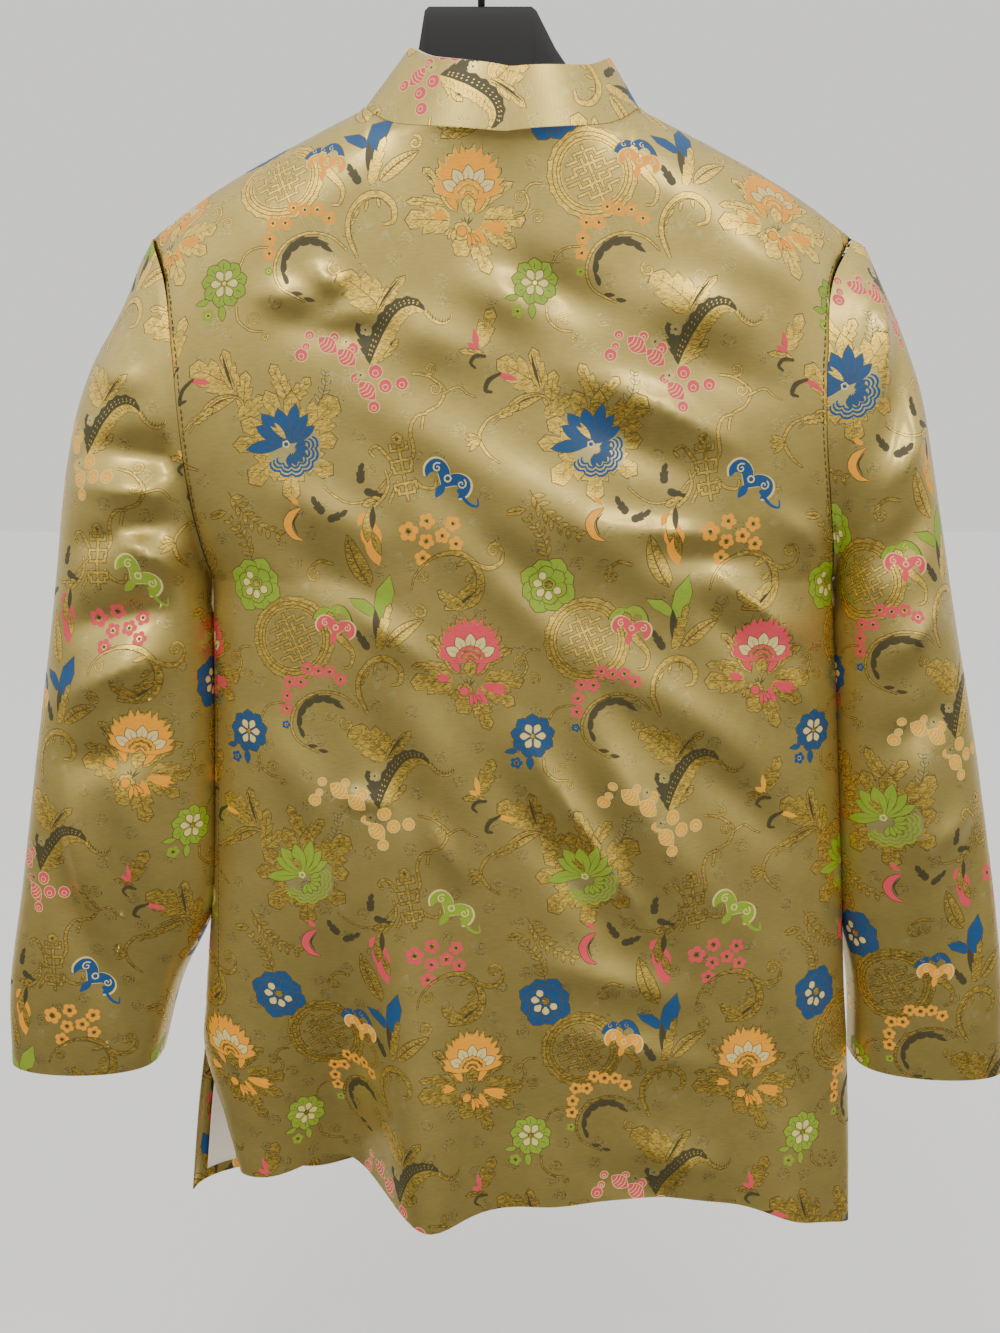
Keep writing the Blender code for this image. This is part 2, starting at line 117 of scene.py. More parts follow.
# The jacket's form, in metres. The origin is the hook's inside top, and the back faces -Y.
form = {
    "seamGap": 0.0004,  # each edge stops this far short of a seam between back and front
    "sleeveGap": 0.0006,
    "middleX": 0.0128,
    "neckHalf": 0.0860,
    "neckDepth": 0.0470,
    "collarTopX": 0.0177,
    "collarTopHalf": 0.0630,
    "collarTopDepth": 0.0420,
    "collarTilt": 0.0060,
    "collarLift": 0.0006,
    "opening": 0.0004,
    "armpitZ": -0.4150,
    "armholeDepth": 0.0420,
    "armholePoint": 1.5,
    "cuffPoint": 0.62,
    "shoulderRound": 0.0550,
    "lens": 4.0,
    "foldDepth": 1.7,  # multiplies all but the largest folds
}
edges = columnsOf(
    "z back_left back_left_y front_left front_left_y back_right back_right_y front_right front_right_y",
    (-0.875, -0.164, -0.032, -0.2180, 0.000, 0.2610, -0.030, 0.2540, 0.012),
    (-0.800, -0.187, -0.012, -0.2095, 0.000, 0.2625, -0.012, 0.2590, 0.005),
    (-0.750, -0.2025, 0.000, -0.2025, 0.000, 0.2620, 0.000, 0.2620, 0.000),
    (-0.718, -0.1998, 0.000, -0.1998, 0.000, 0.2589, 0.000, 0.2589, 0.000),
    (-0.607, -0.1890, 0.000, -0.1890, 0.000, 0.2505, 0.000, 0.2505, 0.000),
    (-0.500, -0.1840, 0.000, -0.1840, 0.000, 0.2420, 0.000, 0.2420, 0.000),
    (-0.415, -0.1810, 0.000, -0.1810, 0.000, 0.2340, 0.000, 0.2340, 0.000),
)
armhole = columnsOf(
    "z left right",
    (-0.415, -0.1810, 0.2340),
    (-0.365, -0.1850, 0.2210),
    (-0.320, -0.1870, 0.2135),
    (-0.275, -0.1900, 0.2128),
    (-0.225, -0.1990, 0.2205),
    (-0.200, -0.2105, 0.2365),
)
depth = columnsOf(
    "z back front",
    (-0.875, 0.048, 0.040),
    (-0.700, 0.046, 0.042),
    (-0.500, 0.045, 0.043),
    (-0.350, 0.046, 0.044),
    (-0.250, 0.044, 0.042),
    (-0.150, 0.040, 0.040),
)
hem = columnsOf(
    "share back front",
    (0.00, -0.838, -0.871),
    (0.18, -0.836, -0.869),
    (0.32, -0.853, -0.866),
    (0.48, -0.847, -0.864),
    (0.70, -0.845, -0.864),
    (0.84, -0.850, -0.866),
    (1.00, -0.872, -0.869),
)
collarRows = columnsOf(
    "angle base top",
    (0, -0.1520, -0.1115),
    (45, -0.1430, -0.1035),
    (90, -0.1245, -0.0895),
    (135, -0.1600, -0.1160),
    (180, -0.1970, -0.1520),
)
sleeveRows = {
    "left": columnsOf(
        "outer_x outer_z inner_x inner_z depth",
        (-0.2110, -0.2000, -0.1830, -0.4170, 0.042),
        (-0.2330, -0.2160, -0.1822, -0.4195, 0.044),
        (-0.2480, -0.2500, -0.1826, -0.4250, 0.046),
        (-0.2600, -0.2900, -0.1830, -0.4345, 0.047),
        (-0.2735, -0.3480, -0.1815, -0.4480, 0.047),
        (-0.2825, -0.4048, -0.1818, -0.4700, 0.046),
        (-0.2918, -0.4590, -0.1826, -0.5050, 0.044),
        (-0.3070, -0.5429, -0.1850, -0.5700, 0.042),
        (-0.3222, -0.6302, -0.1905, -0.6450, 0.039),
        (-0.3352, -0.7000, -0.2180, -0.7050, 0.035),
        (-0.3385, -0.7600, -0.2345, -0.7610, 0.032),
    ),
    "right": columnsOf(
        "outer_x outer_z inner_x inner_z depth",
        (0.2370, -0.2000, 0.2362, -0.4170, 0.042),
        (0.2560, -0.2060, 0.2354, -0.4195, 0.044),
        (0.2680, -0.2300, 0.2360, -0.4250, 0.046),
        (0.2790, -0.2750, 0.2368, -0.4345, 0.047),
        (0.2915, -0.3300, 0.2352, -0.4480, 0.047),
        (0.3035, -0.3860, 0.2370, -0.4700, 0.046),
        (0.3160, -0.4430, 0.2398, -0.5050, 0.044),
        (0.3365, -0.5330, 0.2450, -0.5700, 0.042),
        (0.3555, -0.6302, 0.2520, -0.6450, 0.039),
        (0.3665, -0.7000, 0.2630, -0.7050, 0.035),
        (0.3725, -0.7660, 0.2670, -0.7620, 0.032),
    ),
}
foldNames = "start_x start_z end_x end_z out half most sharp"
# The back's folds: a line from start to end, how far it stands out, its half width, where along it
# stands out most, and how sharp it is (2 is a round swell, less is a crease).
backFolds = columnsOf(
    foldNames,
    (-0.095, -0.600, -0.106, -0.860, -0.0400, 0.034, 1.00, 2.0),
    (-0.055, -0.600, -0.038, -0.860, 0.0240, 0.026, 1.00, 2.0),
    (-0.150, -0.260, 0.200, -0.460, 0.0050, 0.018, 0.60, 2.0),
    (-0.120, -0.310, 0.170, -0.540, 0.0040, 0.016, 0.65, 2.0),
    (0.040, -0.430, 0.160, -0.700, 0.0060, 0.016, 0.50, 2.0),
    (0.215, -0.700, 0.215, -0.870, 0.0080, 0.026, 1.00, 2.0),
    (-0.146, -0.241, -0.091, -0.247, 0.0035, 0.009, 0.50, 1.7),
    (-0.139, -0.257, -0.031, -0.264, -0.0030, 0.011, 0.50, 2.0),
    (-0.115, -0.259, -0.049, -0.254, 0.0030, 0.008, 0.50, 1.8),
    (-0.108, -0.223, -0.082, -0.242, 0.0035, 0.007, 0.70, 1.7),
    (-0.085, -0.247, 0.024, -0.289, 0.0025, 0.014, 0.50, 2.0),
    (-0.000, -0.211, 0.096, -0.267, -0.0035, 0.013, 0.50, 2.0),
    (-0.024, -0.225, 0.048, -0.264, 0.0030, 0.013, 0.50, 2.0),
    (0.036, -0.276, 0.178, -0.342, 0.0050, 0.011, 0.55, 1.6),
    (0.024, -0.298, 0.160, -0.365, -0.0030, 0.012, 0.50, 2.0),
    (0.071, -0.238, 0.193, -0.264, 0.0030, 0.015, 0.50, 2.0),
    (0.096, -0.264, 0.207, -0.311, -0.0025, 0.013, 0.50, 2.0),
    (0.130, -0.207, 0.222, -0.247, 0.0025, 0.016, 0.50, 2.0),
    (-0.149, -0.347, -0.039, -0.402, 0.0030, 0.013, 0.50, 2.0),
    (-0.138, -0.384, -0.039, -0.453, -0.0035, 0.013, 0.50, 2.0),
    (-0.114, -0.402, -0.008, -0.491, 0.0035, 0.011, 0.50, 1.8),
    (-0.026, -0.347, 0.074, -0.427, 0.0030, 0.014, 0.50, 2.0),
    (-0.007, -0.378, 0.088, -0.478, -0.0035, 0.013, 0.50, 2.0),
    (0.049, -0.378, 0.158, -0.389, 0.0035, 0.008, 0.70, 1.6),
    (0.074, -0.402, 0.193, -0.402, -0.0030, 0.010, 0.60, 2.0),
    (0.130, -0.397, 0.226, -0.471, 0.0055, 0.009, 0.55, 1.4),
    (0.112, -0.402, 0.203, -0.491, -0.0035, 0.011, 0.50, 2.0),
    (0.173, -0.365, 0.227, -0.402, 0.0035, 0.010, 0.60, 1.8),
    (0.163, -0.440, 0.237, -0.518, 0.0030, 0.012, 0.60, 2.0),
    (0.011, -0.491, 0.132, -0.679, 0.0060, 0.009, 0.45, 1.3),
    (-0.008, -0.511, 0.105, -0.686, -0.0040, 0.012, 0.50, 2.0),
    (0.050, -0.485, 0.185, -0.668, 0.0040, 0.014, 0.50, 1.8),
    (0.101, -0.491, 0.236, -0.626, -0.0035, 0.014, 0.50, 2.0),
    (0.075, -0.453, 0.206, -0.558, 0.0030, 0.014, 0.50, 2.0),
    (-0.099, -0.551, -0.054, -0.566, 0.0030, 0.007, 0.50, 1.5),
    (-0.055, -0.453, -0.008, -0.598, 0.0035, 0.015, 0.50, 2.0),
    (-0.084, -0.466, -0.041, -0.598, -0.0035, 0.015, 0.50, 2.0),
    (-0.040, -0.558, -0.008, -0.626, 0.0035, 0.009, 0.50, 1.5),
    (-0.155, -0.491, -0.087, -0.598, 0.0030, 0.016, 0.50, 2.0),
    (0.011, -0.661, 0.159, -0.704, 0.0030, 0.012, 0.50, 1.9),
    (0.025, -0.711, 0.188, -0.755, 0.0025, 0.012, 0.50, 1.9),
    (0.080, -0.792, 0.178, -0.830, 0.0035, 0.014, 0.60, 1.7),
    (0.053, -0.814, 0.165, -0.857, -0.0025, 0.012, 0.60, 2.0),
    (0.039, -0.769, 0.053, -0.876, 0.0030, 0.026, 0.80, 2.0),
    (0.183, -0.626, 0.252, -0.792, 0.0040, 0.020, 0.60, 2.0),
)

# The fronts' and the sleeves' folds, similar but smaller.
frontFolds = columnsOf(
    foldNames,
    (-0.120, -0.500, -0.130, -0.865, -0.0080, 0.030, 1.00, 2.0),
    (0.160, -0.520, 0.175, -0.865, 0.0080, 0.030, 1.00, 2.0),
    (-0.150, -0.270, 0.000, -0.360, 0.0035, 0.014, 0.50, 1.9),
    (0.190, -0.260, 0.040, -0.380, 0.0040, 0.014, 0.55, 1.8),
    (-0.160, -0.420, -0.030, -0.520, 0.0040, 0.013, 0.50, 1.8),
    (0.210, -0.430, 0.060, -0.560, 0.0045, 0.012, 0.50, 1.6),
    (-0.170, -0.560, -0.040, -0.690, -0.0040, 0.014, 0.50, 2.0),
    (0.200, -0.600, 0.070, -0.740, 0.0040, 0.014, 0.50, 1.8),
)
sleeveFolds = {
    "left": columnsOf(
        foldNames,
        (-0.265, -0.270, -0.200, -0.300, 0.0040, 0.012, 0.60, 1.8),
        (-0.270, -0.330, -0.185, -0.340, -0.0060, 0.012, 0.80, 1.8),
        (-0.275, -0.355, -0.190, -0.362, 0.0040, 0.009, 0.80, 1.5),
        (-0.280, -0.400, -0.185, -0.375, -0.0045, 0.010, 0.70, 1.8),
        (-0.250, -0.372, -0.186, -0.412, 0.0075, 0.011, 0.80, 1.3),
        (-0.290, -0.450, -0.190, -0.430, -0.0060, 0.012, 0.70, 1.8),
        (-0.290, -0.500, -0.190, -0.455, 0.0070, 0.014, 0.60, 1.5),
        (-0.295, -0.540, -0.195, -0.520, -0.0040, 0.014, 0.50, 2.0),
        (-0.240, -0.470, -0.215, -0.700, 0.0060, 0.014, 0.40, 2.0),
        (-0.275, -0.520, -0.262, -0.700, 0.0045, 0.010, 0.50, 1.7),
        (-0.290, -0.560, -0.250, -0.740, -0.0060, 0.014, 0.50, 2.0),
    ),
    "right": columnsOf(
        foldNames,
        (0.248, -0.215, 0.246, -0.330, 0.0070, 0.007, 0.40, 1.5),
        (0.258, -0.240, 0.254, -0.380, -0.0050, 0.010, 0.50, 2.0),
        (0.285, -0.300, 0.245, -0.370, 0.0045, 0.010, 0.60, 1.6),
        (0.290, -0.350, 0.246, -0.420, -0.0045, 0.012, 0.60, 1.9),
        (0.300, -0.420, 0.250, -0.480, 0.0050, 0.012, 0.50, 1.5),
        (0.310, -0.480, 0.255, -0.540, -0.0040, 0.012, 0.50, 1.9),
        (0.270, -0.430, 0.300, -0.700, 0.0060, 0.013, 0.50, 1.8),
        (0.330, -0.530, 0.330, -0.740, -0.0040, 0.014, 0.50, 2.0),
        (0.340, -0.560, 0.280, -0.600, 0.0030, 0.010, 0.50, 1.7),
    ),
}
studio = {"low": 0.10, "middle": 0.56, "ceiling": 1.9, "wall": 1.25, "lamp": 9.0, "second": 7.0}


def foldsOut(table, x, z):
    # each fold: out x a rise and fall along its line x exp(-(distance / half)^sharp) across it
    out = np.zeros_like(x)
    for row in zip(*table.values()):
        startX, startZ, endX, endZ, high, half, most, sharp = row
        length = math.hypot(endX - startX, endZ - startZ)
        runX, runZ = (endX - startX) / length, (endZ - startZ) / length
        share = ((x - startX) * runX + (z - startZ) * runZ) / length
        aside = np.abs((x - startX) * runZ - (z - startZ) * runX)
        fall = 1.0 if most >= 1 else ease((1 - share) / (1 - most))
        aside = np.sqrt(aside**2 + (0.08 * half) ** 2)
        high = high if abs(high) > 0.02 else high * form["foldDepth"]
        out += high * ease(share / most) * fall * np.exp(-((aside / half) ** sharp))
    return out


def necklineAt(side, sine):
    # an ellipse round the neck, its height read by the angle from the middle of the back
    cosine = np.sqrt(np.clip(1 - sine * sine, 0, 1))
    angle = np.degrees(np.arcsin(np.clip(np.abs(sine), 0, 1)))
    angle = np.where(side < 0, angle, 180 - angle)
    return side * form["neckDepth"] * cosine, smooth(collarRows, "angle", "base", angle)


def topEdge(side, x, shoulderLeft, shoulderRight):
    # the neckline, then down each shoulder seam, a little steeper at its end
    across = (x - form["middleX"]) / form["neckHalf"]
    neckY, neckZ = necklineAt(side, np.clip(across, -1, 1))
    sideZ = collarRows["base"][2]
    left, right = form["middleX"] - form["neckHalf"], form["middleX"] + form["neckHalf"]
    down = np.maximum(
        np.clip((left - x) / (left - shoulderLeft), 0, 1),
        np.clip((x - right) / (shoulderRight - right), 0, 1),
    )
    slopeZ = sideZ + (armhole["z"][-1] - sideZ) * (0.86 * down + 0.14 * down**4)
    onNeck = np.abs(across) < 1
    return np.where(onNeck, neckY, 0.0), np.where(onNeck, neckZ, slopeZ)


def sideEdge(face, side, level):
    # level 0 to 1 runs up the side seam, 1 to 2 round the armhole, whose depth is a pointed arch
    name = f"{'back' if face < 0 else 'front'}_{side}"
    corner = hem["back" if face < 0 else "front"][0 if side == "left" else -1]
    armpit = form["armpitZ"]
    z = np.where(
        level <= 1, corner + (armpit - corner) * level,
        armpit + (armhole["z"][-1] - armpit) * (level - 1)
    )
    arch = np.clip(1 - (2 * level - 3) ** 2, 0, 1) ** (form["armholePoint"] / 2)
    x = np.where(level <= 1, smooth(edges, "z", name, z), smooth(armhole, "z", side, z))
    y = np.where(level <= 1, smooth(edges, "z", name + "_y", z), face * form["armholeDepth"] * arch)
    return x, face * np.maximum(face * y, form["seamGap"]), z


def bodyPoints(face, shares, levels, folds=None):
    # a lens across between the two side edges, turned over at the shoulder, with its folds added
    share, level = np.meshgrid(shares, levels)
    leftX, leftY, _ = sideEdge(face, "left", level)
    rightX, rightY, _ = sideEdge(face, "right", level)
    x = leftX + (rightX - leftX) * share
    edgeY = leftY + (rightY - leftY) * share
    shoulders = armhole["left"][-1], armhole["right"][-1]
    topY, topZ = topEdge(face, shoulders[0] + (shoulders[1] - shoulders[0]) * share, *shoulders)
    name = "back" if face < 0 else "front"
    hemZ = smooth(hem, "share", name, share)
    armpit = form["armpitZ"]
    z = np.where(level <= 1, hemZ + (armpit - hemZ) * level, armpit + (topZ - armpit) * (level - 1))
    lens = np.sqrt(np.clip(1 - np.abs(2 * share - 1) ** form["lens"], 0, 1))
    y = edgeY + (face * smooth(depth, "z", name, z) - edgeY) * lens
    if folds is not None:
        y = y + face * foldsOut(folds, x, z) * lens
    below = np.clip((topZ - z) / form["shoulderRound"], 0, 1)
    y = topY + (y - topY) * np.sqrt(1 - (1 - below) ** 2)
    return np.stack([x, face * np.maximum(face * y, form["seamGap"]), z], axis=-1)


def sleevePoints(side, rings, turns, folds=None):
    # ellipses between outer and inner edge, pointed at the armhole and squarer at the cuff
    rows = sleeveRows[side]
    count = len(rows["depth"])
    placed = rows | {"row": np.arange(count, dtype=float)}
    along = (np.asarray(rings) * (count - 1))[:, None]
    turn = np.asarray(turns)[None, :]
    outerX, outerZ, innerX, innerZ, deep = (
        smooth(placed, "row", name, along) for name in (
            "outer_x", "outer_z", "inner_x", "inner_z", "depth"
        )
    )
    x = (outerX + innerX) / 2 + (outerX - innerX) / 2 * np.cos(turn)
    z = (outerZ + innerZ) / 2 + (outerZ - innerZ) / 2 * np.cos(turn)
    pointed = 1 + (
        form["armholePoint"] - 1
    ) * ease(1 - along / 5) + (form["cuffPoint"] - 1) * ease(along / 5 - 1)
    sine = np.sin(turn)
    y = deep * np.sign(sine) * np.abs(sine) ** pointed
    away = -1 if side == "left" else 1
    seamX = smooth(armhole, "z", side, z) + away * form["sleeveGap"]
    x = x + (seamX - x) * ease(1 - along / 3.5) * np.where(along < 1e-9, 1, 0.55)
    if folds is not None:
        flatness = np.abs(sine) ** 0.7 * ease(along / 1.2)
        y = y + np.sign(sine) * foldsOut(folds, x, z + 0.035 * (sine > 0)) * flatness
    return np.stack([x, y, z], axis=-1)


def collarPoints(angles, heights, out=0.0, lift=0.0):
    # an ellipse at the seam drawn in to a smaller one at the upper edge
    angle, height = np.meshgrid(angles, heights)
    sine, cosine = np.sin(angle), np.cos(angle)
    degrees = np.degrees(np.abs(angle))
    low = smooth(collarRows, "angle", "base", degrees)
    high = smooth(collarRows, "angle", "top", degrees) + lift - form["collarTilt"] * (1 + sine) / 2
    low = low + form["collarLift"]
    half = form["neckHalf"] + (form["collarTopHalf"] - form["neckHalf"]) * height + out
    deep = form["neckDepth"] + (form["collarTopDepth"] - form["neckDepth"]) * height + out
    middle = form["middleX"] + (form["collarTopX"] - form["middleX"]) * height
    return np.stack([middle + half * sine, -deep * cosine, low + (high - low) * height], axis=-1)


def gridNormals(points):
    # the cross product of the two directions along the grid, made one long
    normal = np.cross(np.gradient(points, axis=1), np.gradient(points, axis=0))
    return normal / np.maximum(np.linalg.norm(normal, axis=-1, keepdims=True), 1e-12)


# What each shape of the drawing is woven in.
ground, tone, gold, line, plume, pale = 0, 1, 2, 3, 4, 5
lotus, spray, bat, chrysanthemum, berry, leafLotus, bat2, bud, blossom, pod, peony, cloud = range(10, 22)

# The cloth's drawing, in mm. Values: the repeat, the widths of outlines and veins, the painting's
# cells, how far an outline may be straightened, and the plain points' spacing and distance to a figure.
cloth = {
    "repeatWide": 188.0,
    "repeatHigh": 280.0,
    "outline": 0.42,
    "vein": 0.40,
    "cell": 0.125,
    "slack": 0.07,
    "pitch": 5.2,
    "clear": 3.0,
}

shapes = []


def place(points, x, y, degrees=0.0, size=1.0, flip=1.0):
    # turn by the angle, scale, then move; flip mirrors about the motif's own long axis
    points = np.asarray(points, dtype=float) * [1.0, flip] * size
    c, s = math.cos(math.radians(degrees)), math.sin(math.radians(degrees))
    return np.stack(
        [x + c * points[:, 0] - s * points[:, 1], y + s * points[:, 0] + c * points[:, 1]], axis=1
    )


def rounded(points, steps, closed=False):
    # Catmull-Rom: each span is a cubic whose end slopes are half the chord between the neighbours
    p = np.asarray(points, dtype=float)
    if closed:
        p = np.concatenate([p[-1:], p, p[:2]])
    else:
        p = np.concatenate([2 * p[:1] - p[1:2], p, 2 * p[-1:] - p[-2:-1]])
    t = np.linspace(0, 1, steps, endpoint=False)[:, None]
    spans = []
    for a, b, c, d in zip(p[:-3], p[1:-2], p[2:-1], p[3:]):
        spans.append(
            b + t * (c - a) / 2 + t**2 * (a - 2.5 * b + 2 * c - d / 2) + t**3 * (
                1.5 * (b - c) + (d - a) / 2
            )
        )
    if not closed:
        spans.append(p[-2:-1])
    return np.concatenate(spans)


def onRing(x, y, radius, degrees):
    # the place this far from x and y, at this angle
    return x + radius * math.cos(math.radians(degrees)), y + radius * math.sin(math.radians(degrees))


def hair(kind, a, b, width):
    # a thin four-cornered sliver from a to b, widest before its middle
    a, b = np.asarray(a, dtype=float), np.asarray(b, dtype=float)
    side = np.array([a[1] - b[1], b[0] - a[0]])
    side *= width / 2 / max(np.linalg.norm(side), 1e-9)
    middle = a + (b - a) * 0.4
    fill(kind, [a - side * 0.4, middle - side, b, middle + side, a + side * 0.4])


def fill(kind, points):
    # later shapes cover earlier ones
    shapes.append((kind, np.asarray(points, dtype=float)))


def ribbon(path, widths):
    # half the width to each side of the path, along its own normal
    path = np.asarray(path, dtype=float)
    along = np.gradient(path, axis=0)
    along /= np.maximum(np.linalg.norm(along, axis=1, keepdims=True), 1e-9)
    normal = np.stack([-along[:, 1], along[:, 0]], axis=1)
    half = np.interp(np.linspace(0, 1, len(path)), np.linspace(0, 1, len(widths)), widths)[:, None] / 2
    first = path[:1] - along[:1] * half[0] * 0.6
    last = path[-1:] + along[-1:] * half[-1] * 0.6
    return np.concatenate([first, path + normal * half, last, (path - normal * half)[::-1]])


def stroke(kind, path, widths, edged=False, steps=4):
    # a rounded ribbon, on a wider dark one when edged
    path = rounded(path, steps)
    if edged:
        fill(line, ribbon(path, [w + 2 * cloth["outline"] for w in widths]))
    fill(kind, ribbon(path, widths))


def curl(kind, x, y, radius, turns, start, hand, width, edged=False):
    # an arithmetic spiral from its outer end inwards
    count = int(8 * turns) + 2
    s = np.linspace(0, 1, count)
    angle = np.radians(start) + hand * 2 * math.pi * turns * s
    r = radius * (1 - 0.86 * s)
    path = np.stack([x + r * np.cos(angle), y + r * np.sin(angle)], axis=1)
    widths = [width, width * 0.9, width * 0.7]
    if edged:
        fill(line, ribbon(path, [w + 1.5 * cloth["outline"] for w in widths]))
    fill(kind, ribbon(path, widths))


def petalShape(length, width, point=1.0, steps=7, lean=0.0):
    # half width is a sine of the way along, its widest place set by the point
    t = np.linspace(0, 1, steps + 2)
    half = width / 2 * np.sin(math.pi * t**point) ** 0.85
    bend = lean * length * t * t
    top = np.stack([t * length, half + bend], axis=1)
    low = np.stack([t * length, -half + bend], axis=1)[1:-1][::-1]
    return np.concatenate([top, low])


def petal(kind, x, y, degrees, length, width, point=1.0, lean=0.0, edged=True, vein=False):
    # a petal on a larger dark one when edged, with one vein
    if edged:
        o = cloth["outline"]
        edge = petalShape(length + 2.4 * o, width + 2 * o, point, 7, lean)
        fill(line, place(edge - [o, 0], x, y, degrees))
    fill(kind, place(petalShape(length, width, point, 7, lean), x, y, degrees))
    if vein:
        t = np.linspace(0.12, 0.8, 4)
        path = np.stack([t * length, lean * length * t * t], axis=1)
        hair(line, *place(path[[0, -1]], x, y, degrees), cloth["vein"])


def leafShape(length, width, lobes, lean, grow=0.0):
    # each lobe swells, then its tip points on towards the leaf's own tip, with a notch behind it
    rows = [(0.0, 0.05 * width)]
    for k in range(lobes):
        a, b = (k + 0.1) / (lobes + 0.7), (k + 1.0) / (lobes + 0.7)
        full = math.sin(math.pi * min(1, 0.10 + 0.86 * b**0.9)) ** 0.75
        rows.append((a + 0.01, (0.30 if k == 0 else 0.36) * width * max(full, 0.4)))
        rows.append(((a + b) / 2 + 0.01, 0.47 * width * full))
        rows.append((b + 0.05, 0.50 * width * full))
    side = lambda sign: [
        (min(t, 0.97) * length + grow * (t > 0.5), sign * (w + grow) + lean * length * t * t) for t,
        w in rows
    ]
    return np.array(side(1) + [(length + 1.6 * grow, lean * length)] + side(-1)[::-1])


def leaf(kind, x, y, degrees, length, width, lobes=3, lean=0.0, veins=True, dark=False):
    # a lobed leaf on a larger dark one, with a middle vein, side veins and a dark half
    fill(line, place(leafShape(length, width, lobes, lean, cloth["outline"]), x, y, degrees))
    fill(kind, place(leafShape(length, width, lobes, lean), x, y, degrees))
    if veins:
        v = cloth["vein"]
        t = np.linspace(0.05, 0.86, 5)
        path = np.stack([t * length, lean * length * t * t], axis=1)
        fill(line, ribbon(place(path, x, y, degrees), [v * 1.3, v * 0.7]))
        for k in range(lobes):
            t = (k + 0.45) / (lobes + 0.6)
            for sign in (-1, 1):
                a = np.array([t * length, lean * length * t * t])
                b = a + [length * 0.5 / lobes, sign * width * 0.27 * (1 - 0.35 * t)]
                a2, b2 = place([a, b], x, y, degrees)
                hair(line, a2, b2, v)
    if dark:
        t = np.linspace(0.0, 0.9, 6)
        path = np.stack([t * length, width * 0.16 + lean * length * t * t], axis=1)
        fill(plume, ribbon(place(path, x, y, degrees), [0.3, width * 0.24, 0.3]))


def disc(kind, x, y, radius, lobes=0, depth=0.0, turn=0.0, edged=True, steps=None):
    # a ring of equal lobes: the radius falls by the depth between them
    steps = steps or max(10, lobes * 4)
    angle = np.linspace(0, 2 * math.pi, steps, endpoint=False) + math.radians(turn)
    wave = 1 - depth * (1 - np.abs(np.cos(lobes * (angle - math.radians(turn)) / 2)) ** 0.6)
    r = radius * wave
    if edged:
        o = cloth["outline"]
        fill(line, np.stack([x + (r + o) * np.cos(angle), y + (r + o) * np.sin(angle)], axis=1))
    fill(kind, np.stack([x + r * np.cos(angle), y + r * np.sin(angle)], axis=1))


def ringPart(kind, x, y, inner, outer, start, stop, lobes=0, depth=0.0):
    # a band of a ring from one angle to another, its outer edge lobed, its inner edge following
    count = max(7, lobes * 4 + 1)
    share = np.linspace(0, 1, count)
    angle = np.radians(start + (stop - start) * share)
    wave = np.abs(np.sin(math.pi * lobes * share)) ** 0.6 if lobes else np.ones(count)
    r = outer - depth * (1 - wave)
    low = inner - depth * (1 - wave)
    out = np.stack([x + r * np.cos(angle), y + r * np.sin(angle)], axis=1)
    back = np.stack([x + low * np.cos(angle), y + low * np.sin(angle)], axis=1)[::-1]
    fill(kind, np.concatenate([out, back]))


def bloom(kind, x, y, radius, turn=0.0):
    # five round petals, a paler heart with dark dots
    disc(kind, x, y, radius, 5, 0.28, turn, False, 20)
    disc(gold, x, y, radius * 0.42, 5, 0.2, turn + 36, False, 10)
    disc(plume, x, y, radius * 0.22, 0, 0, 0, False, 6)


def flame(kind, x, y, degrees, length, width, teeth=3):
    # a petal whose end is cut in pointed teeth
    pts = [(0, -0.12 * width), (0.35 * length, -0.40 * width)]
    for k in range(teeth):
        s = -0.5 + (k + 0.5) / teeth
        pts.append((length * (0.72 + 0.02 * k), width * (s - 0.42 / teeth)))
        pts.append((length * (1.0 - 0.5 * abs(s)), width * s * 1.02))
    pts.append((length * 0.72, 0.48 * width))
    pts += [(0.35 * length, 0.40 * width), (0, 0.12 * width)]
    fill(kind, place(pts, x, y, degrees))


